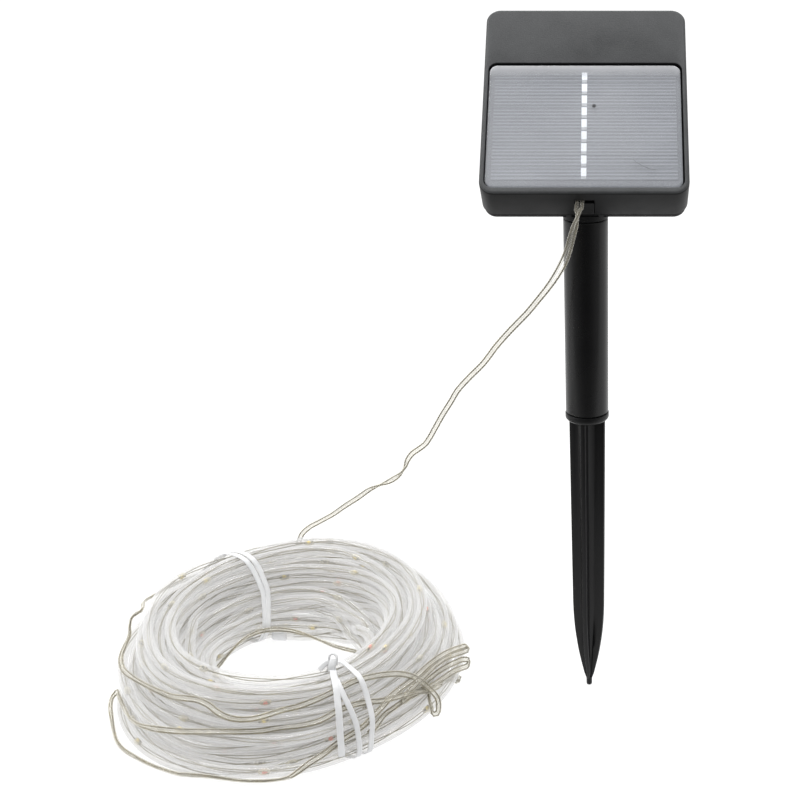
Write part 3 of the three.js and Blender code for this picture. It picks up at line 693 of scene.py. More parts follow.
boss = upright_cyl("boss", [(0, 288.6), (11.55, 288.6), (11.8, 288.75), (11.9, 289.2), (12.05, 290.2), (12.4, 292.0), (12.6, 293.5), (12.6, 332.0), (0, 332.0)])
cutter = plate("c", -70, 70, -70, 200, 1, -21.6, 60, 0, M_BASE, seg=1)
boolean(boss, [cutter])
spig = upright_cyl("spig", [(0, 266.4), (9.0, 266.4), (9.7, 267.2), (9.7, 312), (0, 312)], 40)
cutter = plate("c", -70, 70, -70, 200, 1, -21.6, 60, 0, M_BASE, seg=1)
boolean(spig, [cutter])
boolean(base, [boss, spig], "UNION")
cuts = [
    plate("c1", -38.4, 38.4, 86, 108, 2.4, -30, -22.2, 0, M_BASE, seg=4),
    plate("c2", -29.5, 25.5, 88.8, 105.2, 1.0, -30, -20, 0, M_BASE, seg=3),
    upright_cyl("c3", [(0, 260), (7.6, 260), (7.6, 289.5), (0, 289.5)], 32),
]
for x in (-46.0, 46.0):
    for y in (6.6, HL - 6.6):
        cuts.append(turned("cs", [(0, -30), (2.9, -30), (2.9, -22.9), (1.5, -22.9), (1.5, -15), (0, -15)], M_BASE, (x, y), 24, loc))
for x in (-11, 11):
    cuts.append(turned("cb", [(0, -30), (5.6, -30), (5.6, -23.7), (4.7, -23.5), (4.7, -15), (0, -15)], M_BASE, (x, 60), 28, loc))
boolean(base, cuts, sharp=34)
# the dark slots between base plate and socket at the front
cuts = [plate("n1", -7.0, 7.0, -4, 3.4, 0.3, -23.6, -21.9, 0, M_BASE, seg=2)]
for x in (-12.2, 9.6):
    cuts.append(plate("n2", x, x + 2.6, -4, 2.6, 0.3, -23.7, -22.3, 0, M_BASE, seg=2))
boolean(base, cuts, sharp=34)
put(base, "solar_housing", "base_cover", slot="housing_plastic")

# battery door with grip ribs and a screw pocket
door = plate("battery_door_panel", -38, 38, 86.4, 107.6, 2.1, -HT, -22.5, 0.1, M_BASE, seg=6, bottom=0.5, steps=3)
cuts = [turned("ds", [(0, -30), (2.5, -30), (2.5, -23.4), (1.5, -23.4), (1.5, -20), (0, -20)], M_BASE, (34.7, 97), 24, loc)]
for x in (-30, -27, -24):
    cuts.append(plate("dr", x, x + 1.2, 91, 103, 0.55, -30, -23.6, 0, M_BASE, seg=3))
boolean(door, cuts, sharp=34)
put(door, "door", "battery_door", slot="housing_plastic")
for tag, x in (("power", -11), ("mode", 11)):
    prof = [(0, -19.9), (5.1, -19.9), (5.4, -20.1), (5.4, -20.8), (5.3, -20.9), (4.2, -20.95), (4.2, -24.3)]
    prof += [(3.9, -24.65), (3.4, -24.85), (2.6, -24.8), (1.4, -24.6), (0, -24.55)]
    b = turned(f"{tag}_button_cap", prof[::-1], M_RUBBER, (x, 60), 32, loc, sharp=50)
    put(b, f"{tag}_press", f"{tag}_button", slot="black_rubber")

# ------------------------------------------------------------------ stake tube and spike
tube = turned("stake_tube_shell", [
    (10.0, 180.15), (10.15, 180.0), (11.5, 180.0), (11.75, 180.2), (11.8, 180.6), (11.8, 236.0), (11.8, 284.4),
    (11.8, 287.7), (11.75, 288.0), (11.55, 288.2), (10.3, 288.2), (10.0, 288.0)],
    M_TUBE, seg=72, closed=True, sharp=40)
put(tube, "stake_and_coil", "stake_tube", slot="stake_plastic")


def spike_ring(w, t, h, turn, z):
    """A cross of four fins: w half width, t half thickness, h hub radius. Soft fin corners and filleted roots."""
    pts = []
    rr_ = min(t * 0.55, w * 0.4)
    for q in range(4):
        a = math.radians(turn + 90 * q)
        ca, sa = math.cos(a), math.sin(a)
        # along the fin (u) and across it (v)
        root = max(t + 0.25, min(h, w * 0.75))
        row = [(root, -t - 0.02), (max(root, (root + w - rr_) * 0.5), -t), (w - rr_, -t), (w - rr_ * 0.3, -t + rr_ * 0.3), (w, -t + rr_),
               (w, t - rr_), (w - rr_ * 0.3, t - rr_ * 0.3), (w - rr_, t), (max(root, (root + w - rr_) * 0.5), t), (root, t + 0.02)]
        for u, v in row:
            pts.append((u * ca - v * sa, u * sa + v * ca, z))
        # the hub between this fin and the next
        for k in (22.5, 45, 67.5):
            b = math.radians(turn + 90 * q + k)
            hh = min(max(h, t * 1.42), w)
            dip = hh * (1.0 - 0.10 * math.sin(math.radians(k * 2)))
            pts.append((dip * math.cos(b), dip * math.sin(b), z))
    return pts


half = [(4.3, 1.75), (5.2, 2.05), (8, 3.0), (12.3, 3.95), (16.5, 4.9), (20.7, 5.75), (25, 6.55), (29.2, 7.2), (33.5, 7.8), (37.6, 8.3), (42, 8.7), (46, 9.0),
        (51, 9.25), (56, 9.4), (78, 9.58), (100, 9.75), (140, 10.0), (172, 10.2), (178.4, 10.25)]
rings = []
for z, w in half:
    t = min(1.4, 0.55 + 0.9 * (w - 1.7) / 3.0) if w < 5 else 1.4 + 0.15 * z / 178
    h = min(w * 0.62, 1.5 + 0.055 * z) if z < 60 else 4.4 + 0.8 * (z - 60) / 118
    rings.append(spike_ring(w, min(t, w * 0.75), h, -14, z))
spike = rings_mesh("ground_spike_fins", rings, M_SPIKE, place=lambda x, y, z: (x, y, z), sharp=40)
tip = turned("tip", [(0, 0.0), (1.2, 0.0), (1.55, 0.25), (1.72, 0.8), (1.75, 4.0), (1.9, 5.6), (0, 5.6)], M_SPIKE, seg=24)
collar = turned("collar", [(0, 175.2), (10.7, 175.2), (11.15, 175.35), (11.95, 176.3), (12.1, 176.8), (12.1, 178.8), (12.0, 179.2), (11.6, 179.45),
                           (9.75, 179.5), (9.65, 179.85), (9.65, 203.2), (9.0, 204), (7.6, 204), (7.6, 182.0), (0, 182.0)], M_SPIKE, seg=72)
boolean(spike, [tip, collar], "UNION", sharp=36)
put(spike, "spike", "ground_spike", slot="stake_plastic")

# ------------------------------------------------------------------ the coil: winding and relaxing
LAYERS = [4, 5, 6, 7, 6, 6, 5, 4]
PITCH, COLUMN, ROPE_R = 6.5, 7.0, 3.0
TURNS = 43
M = 72                                   # stations in one turn
S = TURNS * M
START = 120.0
TIES = (126.0, 302.0)

# where the strands lie in the bundle: columns from the outside in, each standing on the ground
TOPS = [-1.0, 11.0, 18.5, 22.8, 22.0, 15.5, 4.0, -6.0]
OUT = [0.0, 0.0, -0.5, -1.5, -1.5, -2.0, -3.0, -5.0]


def column_places():
    out = []
    for k, n in enumerate(LAYERS):
        for i in range(n):
            f = i / (n - 1)
            if k % 2:
                f = 1 - f
            z = -23.6 + f * (TOPS[k] + 23.6)
            out.append((98.0 - k * COLUMN + OUT[k] * (1 - f), z, k))
    out.insert(0, (98.0 + 5.0, -22.0, 0))
    return out


places = column_places()


def wind():
    """Where each strand is laid, (r, z) by station: it keeps its place round the circle and moves on in one window."""
    out = np.zeros((S + 1, 2))
    for s in range(S + 1):
        deg = START + 360.0 * s / M
        rel = deg - 330.0
        turn = math.floor(rel / 360.0)
        k = 0.0 if turn < 0 else min(1.0, (rel - 360.0 * turn) / 120.0)
        k = k * k * (3 - 2 * k)
        a = places[max(0, min(len(places) - 1, turn))] if turn >= 0 else places[0]
        b = places[max(0, min(len(places) - 1, turn + 1))] if turn >= 0 else places[0]
        out[s] = (a[0] + k * (b[0] - a[0]), a[1] + k * (b[1] - a[1]))
    return out


def smooth_noise(n, knots, amp, gen):
    """Smooth random values along the strand, one knot every so many stations."""
    m = int(n / knots) + 4
    v = gen.normal(0, 1, m) * amp
    x = np.arange(n) / knots
    i = np.floor(x).astype(int)
    u = x - i
    p0, p1, p2, p3 = v[i], v[i + 1], v[i + 2], v[np.minimum(i + 3, m - 1)]
    return 0.5 * ((2 * p1) + (-p0 + p2) * u + (2 * p0 - 5 * p1 + 4 * p2 - p3) * u * u + (-p0 + 3 * p1 - 3 * p2 + p3) * u**3)


def bell(deg, at, width):
    return np.exp(-(((deg - at + 180) % 360 - 180) / width) ** 2)


def relax():
    gen = np.random.default_rng(5)
    base = wind()[:S]
    deg = (START + 360.0 * np.arange(S) / M) % 360.0
    near = np.maximum(0.45 * bell(deg, TIES[0], 16.0), bell(deg, TIES[1], 16.0))
    # looser at the left and right sides of the coil
    loose = 0.60 + 0.9 * bell(deg, 205, 40.0) + 0.6 * bell(deg, 15, 42.0)
    loose = loose * (1 - 0.8 * near)
    turn_i = np.arange(S) // M
    wander = np.ones(S)
    for t in (0, 1, 5, 6, 7, 12, 18, 25, 32, 36, 38, 41, 42):
        wander[turn_i == t] = 1.9
    wander = np.convolve(np.pad(wander, 15, mode="edge"), np.ones(31) / 31, mode="valid")
    nr = smooth_noise(S, 22, 3.6, gen) * loose * wander + smooth_noise(S, 9, 0.9, gen) * loose
    nz = smooth_noise(S, 25, 3.4, gen) * loose * wander + smooth_noise(S, 10, 0.9, gen) * loose
    P = np.stack([base[:, 0] + nr, base[:, 1] + nz], 1)
    # the bundle is wider and higher at the back, and stands further out at the front
    at = np.arange(-45, 450, 45)
    out_r = np.interp(deg, at, [99, 89, 98, 101, 93, 90, 98, 104, 99, 89, 98])
    in_r = np.interp(deg, at, [55, 43, 33, 28, 35, 49, 56, 59, 55, 43, 33])
    tall = np.interp(deg, at, [1.0, 1.06, 1.13, 1.15, 1.12, 1.04, 0.96, 0.97, 1.0, 1.06, 1.13])
    ring = lambda v: np.convolve(np.pad(v, 9, mode='edge'), np.ones(19) / 19, mode='valid')
    out_r, in_r, tall = ring(out_r), ring(in_r), ring(tall)

    def shaped(q):
        foot = bell(deg, 92, 50.0) * np.clip((98.0 - q[:, 0]) / 54.0, 0, 1.1)**4 * np.exp(-((q[:, 1] + 23.7) / 10.0)**2)
        return np.stack([out_r - (98.0 - q[:, 0]) * (out_r - in_r) / 54.0 - 7.0 * foot, (q[:, 1] + 23.7) * tall - 23.7], 1)
    rest = shaped(base)
    P = shaped(P)
    T = P.copy()
    centre = np.stack([0.58 * out_r + 0.42 * in_r, np.full(S, -3.0)], 1)
    floor_z = -COIL[2] + 3.15
    D = 2 * ROPE_R + 0.12
    eye = np.eye(TURNS, dtype=bool)[None]
    steps = 420
    for it in range(steps):
        late = it / steps
        P += 0.05 * (1 - late) * (T - P)
        P += (0.0004 + 0.010 * near)[:, None] * (centre - P) * (1 - 0.6 * late)
        P[:, 1] -= 0.02 * (1 - near) * (1 - 0.7 * late)
        for _ in range(2):                # stiffness along the strand
            E = P - rest
            P[1:-1] += 0.22 * (0.5 * (E[:-2] + E[2:]) - E[1:-1])
        for _ in range(3):
            X = P.reshape(TURNS, M, 2).transpose(1, 0, 2)
            d = X[:, :, None, :] - X[:, None, :, :]
            L = np.sqrt((d**2).sum(-1)) + 1e-6
            L[np.broadcast_to(eye, L.shape)] = 1e3
            over = np.clip(D - L, 0, None)
            X = X + ((d / L[..., None]) * (over * 0.42)[..., None]).sum(2)
            P = X.transpose(1, 0, 2).reshape(S, 2).copy()
            P[:, 1] = np.maximum(P[:, 1], floor_z + 0.9 * near)
    X = P.reshape(TURNS, M, 2).transpose(1, 0, 2)
    d = X[:, :, None, :] - X[:, None, :, :]
    L = np.sqrt((d**2).sum(-1))
    L[np.broadcast_to(eye, L.shape)] = 1e3
    print("coil: least spacing", round(float(L.min()), 2), "mean of the closest", round(float(L.min(2).mean()), 2),
          "r", P[:, 0].min().round(1), P[:, 0].max().round(1), "z", P[:, 1].min().round(1), P[:, 1].max().round(1))
    return P


def refine(P, times):
    """Doubles the points of a smooth path by a four-point rule."""
    for _ in range(times):
        n = len(P)
        Q = np.zeros((2 * n - 1, 3))
        Q[0::2] = P
        E = np.concatenate([[2 * P[0] - P[1]], P, [2 * P[-1] - P[-2]]])
        Q[1::2] = (-E[:-3] + 9 * E[1:-2] + 9 * E[2:-1] - E[3:]) / 16
        P = Q
    return P


RZ = relax()
ANG = np.radians(START + 360.0 * np.arange(S) / M)


def ring_point(deg, r, z):
    a = math.radians(deg)
    return COIL + np.array([r * math.cos(a), r * math.sin(a), z])


ROPE = COIL + np.stack([RZ[:, 0] * np.cos(ANG), RZ[:, 0] * np.sin(ANG), RZ[:, 1]], 1)


ROPE_F = refine(ROPE, 1)
out_dir = ROPE_F - np.array([COIL[0], COIL[1], 0])
out_dir[:, 2] = 0
out_dir /= np.linalg.norm(out_dir, axis=1)[:, None]
Tn = np.gradient(ROPE_F, axis=0)
Tn /= np.linalg.norm(Tn, axis=1)[:, None]
An = out_dir - Tn * (out_dir * Tn).sum(1)[:, None]
An /= np.linalg.norm(An, axis=1)[:, None]
Bn = np.cross(Tn, An)



def rope_mat(name, base, low, high, power, rough, spec, painted_glow):
    """Clear PVC tube: see-through face on, milky at its edges, with faint streaks along its length, and a painted glow
    of its body colour that lightens its shaded layers.
    """
    m, nt, out = new_mat(name)
    p = node(nt, "ShaderNodeBsdfPrincipled")
    at = node(nt, "ShaderNodeAttribute")
    at.attribute_name = "flow"
    vec = mapping(nt, at.outputs["Vector"], (1.3, 1.1, 1.1))
    streak = noise(nt, vec, 1.0, 3.0, 0.55)
    slow = noise(nt, mapping(nt, at.outputs["Vector"], (0.7, 0.3, 0.3)), 1.0, 2.0, 0.5)
    nt.links.new(ramp(nt, streak, [(0.3, tuple(c * 0.93 for c in base)), (0.7, base)]), p.inputs["Base Color"])
    nt.links.new(maprange(nt, streak, 0.3, 0.7, rough * 0.7, rough * 1.6), p.inputs["Roughness"])
    p.inputs["Specular IOR Level"].default_value = spec
    # painted light: an emission of the body colour lightens the rope where it is shaded, between and under the strands
    p.inputs["Emission Color"].default_value = (*base, 1)
    p.inputs["Emission Strength"].default_value = painted_glow
    nt.links.new(bump(nt, streak, 0.10, 0.20 * MM), p.inputs["Normal"])
    t = node(nt, "ShaderNodeBsdfTransparent")
    t.inputs["Color"].default_value = (0.997, 0.995, 0.990, 1)
    lw = node(nt, "ShaderNodeLayerWeight")
    lw.inputs["Blend"].default_value = 0.5
    edge = maths(nt, "POWER", lw.outputs["Facing"], power)
    fac = maths(nt, "ADD", maths(nt, "MULTIPLY", edge, high - low), low)
    fac = maths(nt, "ADD", fac, maprange(nt, streak, 0.35, 0.65, -0.05, 0.05))
    fac = maths(nt, "ADD", fac, maprange(nt, slow, 0.35, 0.65, -0.04, 0.04), clamp=True)
    mix = node(nt, "ShaderNodeMixShader")
    nt.links.new(fac, mix.inputs["Fac"])
    nt.links.new(t.outputs[0], mix.inputs[1])
    nt.links.new(p.outputs[0], mix.inputs[2])
    nt.links.new(mix.outputs[0], out.inputs["Surface"])
    return m


# the last figure is the painted glow that lightens the shaded layers of the rope skin and of its bore
M_PVC = rope_mat("clear_pvc_outer", (0.46, 0.461, 0.466), 0.22, 0.84, 1.9, 0.11, 0.8, 0.62)
M_BORE = rope_mat("clear_pvc_bore", (0.50, 0.49, 0.47), 0.05, 0.40, 2.2, 0.14, 0.4, 0.50)
# rope: outer skin, bore, and the two annular ends, as one closed body
NS, NB = 14, 8
V1, Q1 = sweep(ROPE_F, An, Bn, ROPE_R, NS)
V2, Q2 = sweep(ROPE_F, An, Bn, 2.05, NB)
n = len(ROPE_F)
verts = np.concatenate([V1, V2])
quads = np.concatenate([Q1, Q2[:, ::-1] + len(V1)])
slots = np.concatenate([np.zeros(len(Q1)), np.ones(len(Q2))])
tris = []
for end, base_o, base_i in ((0, 0, len(V1)), (1, (n - 1) * NS, len(V1) + (n - 1) * NB)):
    i = j = 0
    while i < NS or j < NB:
        if j >= NB or (i < NS and (i + 1) / NS <= (j + 1) / NB):
            t = (base_o + i % NS, base_o + (i + 1) % NS, base_i + j % NB)
            i += 1
        else:
            t = (base_o + i % NS, base_i + (j + 1) % NB, base_i + j % NB)
            j += 1
        tris.append(t[::-1] if end == 0 else t)
# A x B points along travel, so the rings run anticlockwise seen from ahead
rope = fast_mesh("led_rope_tube", verts, quads[:, ::-1] if False else quads, [M_PVC, M_BORE], True,
                 np.concatenate([slots, np.zeros(len(tris))]), np.array(tris))
flow = rope.data.attributes.new("flow", "FLOAT_VECTOR", "POINT")
along = np.concatenate([[0], np.cumsum(np.linalg.norm(np.diff(ROPE_F, axis=0), axis=1))]) / 100.0
fl = np.zeros((len(verts), 3), np.float32)
for base_v, sides, rr2 in ((0, NS, 1.0), (len(V1), NB, 0.7)):
    a_ = np.arange(sides) * 2 * math.pi / sides
    fl[base_v:base_v + n * sides, 0] = np.repeat(along, sides)
    fl[base_v:base_v + n * sides, 1] = np.tile(np.cos(a_) * rr2, n)
    fl[base_v:base_v + n * sides, 2] = np.tile(np.sin(a_) * rr2, n)
flow.data.foreach_set("vector", fl.ravel())
put(rope, "stake_and_coil", "rope_tube", slot="clear_pvc")

# LED string inside the rope: two fine twisted conductors, lamp droplets every 10 cm
def strand_mat(name, dark, light, metallic, scale=1400.0):
    m, nt, out = new_mat(name)
    p = node(nt, "ShaderNodeBsdfPrincipled")
    v = coords(nt)
    w = noise(nt, v, scale, 2.0, 0.6)
    slow = noise(nt, v, 60.0, 3.0, 0.6)
    nt.links.new(ramp(nt, maths(nt, "ADD", maths(nt, "MULTIPLY", w, 0.5), maths(nt, "MULTIPLY", slow, 0.5)), [(0.3, dark), (0.7, light)]), p.inputs["Base Color"])
    p.inputs["Metallic"].default_value = metallic
    p.inputs["Roughness"].default_value = 0.42
    nt.links.new(bump(nt, w, 0.6, 0.05 * MM), p.inputs["Normal"])
    nt.links.new(p.outputs[0], out.inputs["Surface"])
    return m


M_WIRE = strand_mat("fine_wire", (0.16, 0.145, 0.09), (0.42, 0.39, 0.29), 0.2)
arc = np.concatenate([[0], np.cumsum(np.linalg.norm(np.diff(ROPE_F, axis=0), axis=1))])
wires = Pile()
wob = smooth_noise(len(ROPE_F), 14, 0.35, np.random.default_rng(9))
for k in range(2):
    th = arc / 70.0 * 2 * math.pi + k * math.pi + 1.2 * smooth_noise(len(ROPE_F), 30, 0.6, np.random.default_rng(20 + k))
    rad = 0.75 + wob * 0.5
    C = ROPE_F + (rad * np.cos(th))[:, None] * An + (rad * np.sin(th))[:, None] * Bn
    C = C[2:-4]
    wires.add(*solid_tube(C, An[2:-4], Bn[2:-4], 0.27, 5))
string = wires.build("led_string_wires", M_WIRE)
put(string, "stake_and_coil", "led_string", slot="led_wire")


def glow_mat(name, col, low=0.55):
    return see_through(name, col, low, 0.98, 0.16, (1, 1, 1), 0.5, 1.6)


M_DROP = glow_mat("lamp_resin", (0.85, 0.80, 0.62), 0.30)
M_CHIPS = [
    plastic("chip_yellow", (0.80, 0.62, 0.12), (0.90, 0.72, 0.20), (0.4, 0.5), 2000.0, 0.01, 0.5, 400.0, 0.3),
    plastic("chip_red", (0.85, 0.10, 0.07), (0.95, 0.20, 0.13), (0.4, 0.5), 2000.0, 0.01, 0.5, 400.0, 0.3),
    plastic("chip_dark", (0.05, 0.05, 0.045), (0.10, 0.10, 0.09), (0.4, 0.5), 2000.0, 0.01, 0.5, 400.0, 0.3),
]


def ellipsoid(c, t, a, b, rt, ra, seg=10, rows=7):
    V, Q, T = [], [], []
    for i in range(1, rows):
        th = math.pi * i / rows
        for j in range(seg):
            ph = 2 * math.pi * j / seg
            V.append(c - t * rt * math.cos(th) + (a * math.cos(ph) + b * math.sin(ph)) * ra * math.sin(th))
    V.append(c - t * rt)
    V.append(c + t * rt)
    for i in range(rows - 2):
        for j in range(seg):
            k = (j + 1) % seg
            Q.append((i * seg + j, i * seg + k, (i + 1) * seg + k, (i + 1) * seg + j))
    top, bot = (rows - 1) * seg, (rows - 1) * seg + 1
    for j in range(seg):
        k = (j + 1) % seg
        T.append((top, k, j))
        T.append((bot, (rows - 2) * seg + j, (rows - 2) * seg + k))
    return np.array(V), np.array(Q), np.array(T)


drops, chips = Pile(), Pile()
gen = np.random.default_rng(3)
count = 0
d = 60.0
while d < arc[-1] - 40:
    i = int(np.searchsorted(arc, d))
    c, t, a, b = ROPE_F[i], Tn[i], An[i], Bn[i]
    spin = gen.uniform(0, 2 * math.pi)
    a2, b2 = a * math.cos(spin) + b * math.sin(spin), -a * math.sin(spin) + b * math.cos(spin)
    drops.add(*ellipsoid(c, t, a2, b2, 3.4, 1.75))
    # the chip: a small slab on the wires with a rounded lens
    kind = (0, 2, 1, 0, 0, 2, 1, 0, 2)[count % 9]
    V = []
    for u in (-1, 1):
        for v in (-1, 1):
            for w in (-1, 1):
                V.append(c + t * 0.85 * u + a2 * (0.65 * v) + b2 * (0.55 * w + 0.35))
    Q = [(0, 1, 3, 2), (4, 6, 7, 5), (0, 4, 5, 1), (2, 3, 7, 6), (0, 2, 6, 4), (1, 5, 7, 3)]
    chips.add(np.array(V), np.array(Q), None, kind)
    vd, qd, td = ellipsoid(c + b2 * 0.85 + t * 0.1, t, a2, b2, 1.5, 0.95, 10, 7)
    chips.add(vd, qd, td, kind)
    for u in (-2.1, 1.9):
        vd, qd, td = ellipsoid(c + b2 * 0.9 + t * u + a2 * (0.3 * u), t, a2, b2, 0.75, 0.5, 8, 5)
        chips.add(vd, qd, td, 2)
    d += 103.0 + gen.normal(0, 1.5)
    count += 1
print("lamps", count, "rope metres", round(arc[-1] / 1000, 2))
ob = drops.build("lamp_droplets", M_DROP)
put(ob, "stake_and_coil", "led_string", slot="led_wire")
ob = chips.build("lamp_chips", M_CHIPS)
put(ob, "stake_and_coil", "led_string", slot="led_wire")

# end cap on the far end, splice sleeve on the near end
def along_tube(name, p0, direction, prof, mat_, seg=20):
    t = direction / np.linalg.norm(direction)
    a = np.cross(t, [0, 0, 1.0])
    a /= np.linalg.norm(a)
    b = np.cross(t, a)
    return turned(name, prof, mat_, seg=seg, sharp=45,
                  place=lambda x, y, z: tuple(p0 + t * z + a * x + b * y))


e = ROPE_F[-1]
te = ROPE_F[-1] - ROPE_F[-3]
M_CAP = see_through("clear_cap", (0.84, 0.85, 0.87), 0.6, 0.97, 0.12, (1, 1, 1), 0.5, 1.8)
cap = along_tube("rope_end_plug", e - te / np.linalg.norm(te) * 1.5, te, [(3.06, 0), (3.3, 0.25), (3.35, 0.8), (3.3, 6.6), (3.0, 8.2), (2.2, 8.9), (0, 9.1), (0, 2.4), (3.06, 2.4)], M_CAP)
put(cap, "stake_and_coil", "rope_end_cap", slot="clear_pvc")
s0 = ROPE_F[0]
ts = ROPE_F[0] - ROPE_F[2]
ts /= np.linalg.norm(ts)
sleeve = along_tube("splice_tube", s0 - ts * 1.5, ts, [(3.06, 0), (3.35, 0.3), (3.4, 1.0), (3.4, 18.5), (3.1, 20.8), (2.4, 22.4), (2.1, 23.0), (0, 23.2), (0, 2.6), (3.06, 2.6)], M_CAP)
put(sleeve, "stake_and_coil", "splice_sleeve", slot="clear_pvc")

# ------------------------------------------------------------------ ties
M_TIE = None


def tie_material():
    m, nt, out = new_mat("white_tie")
    p = node(nt, "ShaderNodeBsdfPrincipled")
    v = coords(nt)
    fine_n = noise(nt, v, 700.0, 3.0, 0.6)
    slow = noise(nt, v, 110.0, 3.0, 0.6)
    nt.links.new(ramp(nt, slow, [(0.3, (0.66, 0.665, 0.672)), (0.7, (0.75, 0.754, 0.76))]), p.inputs["Base Color"])
    nt.links.new(maprange(nt, slow, 0.3, 0.7, 0.30, 0.45), p.inputs["Roughness"])
    p.inputs["Specular IOR Level"].default_value = 0.5
    nt.links.new(bump(nt, fine_n, 0.35, 0.05 * MM), p.inputs["Normal"])
    nt.links.new(p.outputs[0], out.inputs["Surface"])
    return m


M_TIE = tie_material()


def section(deg):
    """Strand centres (r, z) in the section at an angle."""
    j = ((deg - START) % 360.0) / (360.0 / M)
    j0 = int(math.floor(j)) % M
    u = j - math.floor(j)
    X = RZ.reshape(TURNS, M, 2)
    a = X[:, j0]
    b = X[:, (j0 + 1) % M] if j0 + 1 < M else np.concatenate([X[1:, 0], X[-1:, j0]])
    return a * (1 - u) + b * u


def hull(points):
    pts = sorted(map(tuple, points))

    def half_hull(seq):
        h = []
        for p in seq:
            while len(h) >= 2 and (h[-1][0] - h[-2][0]) * (p[1] - h[-2][1]) - (h[-1][1] - h[-2][1]) * (p[0] - h[-2][0]) <= 0:
                h.pop()
            h.append(p)
        return h
    lo, up = half_hull(pts), half_hull(pts[::-1])
    return np.array(lo[:-1] + up[:-1])


def wrap_path(deg, off, extra=None, n=120):
    """A closed outline round the bundle at an angle, off millimetres outside the strands' skins. (r, z), anticlockwise."""
    pts = section(deg)
    circ = []
    for r, z in pts:
        for k in range(16):
            a = 2 * math.pi * k / 16
            circ.append((r + (ROPE_R + off) * math.cos(a), z + (ROPE_R + off) * math.sin(a)))
    for r, z, rad in (extra or []):
        for k in range(16):
            a = 2 * math.pi * k / 16
            circ.append((r + (rad + off) * math.cos(a), z + (rad + off) * math.sin(a)))
    h = hull(circ)
    h = np.concatenate([h, h[:1]])
    d = np.concatenate([[0], np.cumsum(np.linalg.norm(np.diff(h, axis=0), axis=1))])
    t = np.linspace(0, d[-1], n + 1)[:-1]
    q = np.stack([np.interp(t, d, h[:, 0]), np.interp(t, d, h[:, 1])], 1)
    q[:, 1] = np.maximum(q[:, 1], -COIL[2] + 0.5)
    return q


def strap(pile_, path3, width_dir, w, th, close=False):
    """A flat strap along path3, w wide along width_dir, th thick, with rounded edges."""
    P = np.asarray(path3, float)
    n_ = len(P)
    if close:
        T_ = np.roll(P, -1, 0) - np.roll(P, 1, 0)
    else:
        T_ = np.gradient(P, axis=0)
    T_ /= np.linalg.norm(T_, axis=1)[:, None]
    Wd = np.asarray(width_dir, float)
    Wd = np.broadcast_to(Wd, P.shape).copy()
    Wd -= T_ * (Wd * T_).sum(1)[:, None]
    Wd /= np.linalg.norm(Wd, axis=1)[:, None]
    N_ = np.cross(T_, Wd)
    prof = [(-w / 2, 0), (-w / 2 + th * 0.35, -th / 2), (-w * 0.2, -th * 0.46), (w * 0.2, -th * 0.46), (w / 2 - th * 0.35, -th / 2), (w / 2, 0),
            (w / 2 - th * 0.35, th / 2), (w * 0.2, th * 0.40), (0, th * 0.62), (-w * 0.2, th * 0.40), (-w / 2 + th * 0.35, th / 2)]
    k_ = len(prof)
    V = np.concatenate([(P[i] + np.array([a * Wd[i] + b * N_[i] for a, b in prof])) for i in range(n_)])
    Q = []
    rows = n_ if close else n_ - 1
    for i in range(rows):
        i2 = (i + 1) % n_
        for j in range(k_):
            k2 = (j + 1) % k_
            Q.append((i * k_ + j, i * k_ + k2, i2 * k_ + k2, i2 * k_ + j))
    T3 = []
    if not close:
        V = np.concatenate([V, P[:1], P[-1:]])
        for j in range(k_):
            k2 = (j + 1) % k_
            T3.append((n_ * k_, k2, j))
            T3.append((n_ * k_ + 1, (n_ - 1) * k_ + j, (n_ - 1) * k_ + k2))
    pile_.add(V, np.array(Q), np.array(T3) if T3 else None)


# ------------------------------------------------------------------ twin lead
LEAD_SH, LEAD_CU, LEAD_OFF = 0.98, 0.42, 0.95
M_SHEATH = see_through("clear_lead_sheath", (0.92, 0.89, 0.80), 0.20, 0.66, 0.05, (0.995, 0.99, 0.965), 1.0, 2.6)


def conductor_mat():
    m, nt, out = new_mat("stranded_conductor")
    p = node(nt, "ShaderNodeBsdfPrincipled")
    v = coords(nt)
    w = noise(nt, v, 900.0, 2.0, 0.7, 1.5)
    slow = noise(nt, v, 70.0, 3.0, 0.6)
    nt.links.new(ramp(nt, maths(nt, "ADD", maths(nt, "MULTIPLY", w, 0.6), maths(nt, "MULTIPLY", slow, 0.4)),
                      [(0.36, (0.040, 0.032, 0.010)), (0.54, (0.13, 0.105, 0.045)), (0.70, (0.42, 0.36, 0.20))]), p.inputs["Base Color"])
    p.inputs["Metallic"].default_value = 0.35
    p.inputs["Roughness"].default_value = 0.38
    nt.links.new(bump(nt, w, 0.8, 0.08 * MM), p.inputs["Normal"])
    nt.links.new(p.outputs[0], out.inputs["Surface"])
    return m


M_CU = conductor_mat()


def twin(P, up, twist, name, body=None):
    """A clear twin lead along P. twist: turn of the pair at each point, radians."""
    T_, A_, B_ = carried(P, up)
    tw = np.asarray(twist, float)
    return twin_frames(P, T_, A_ * np.cos(tw)[:, None] + B_ * np.sin(tw)[:, None], name)


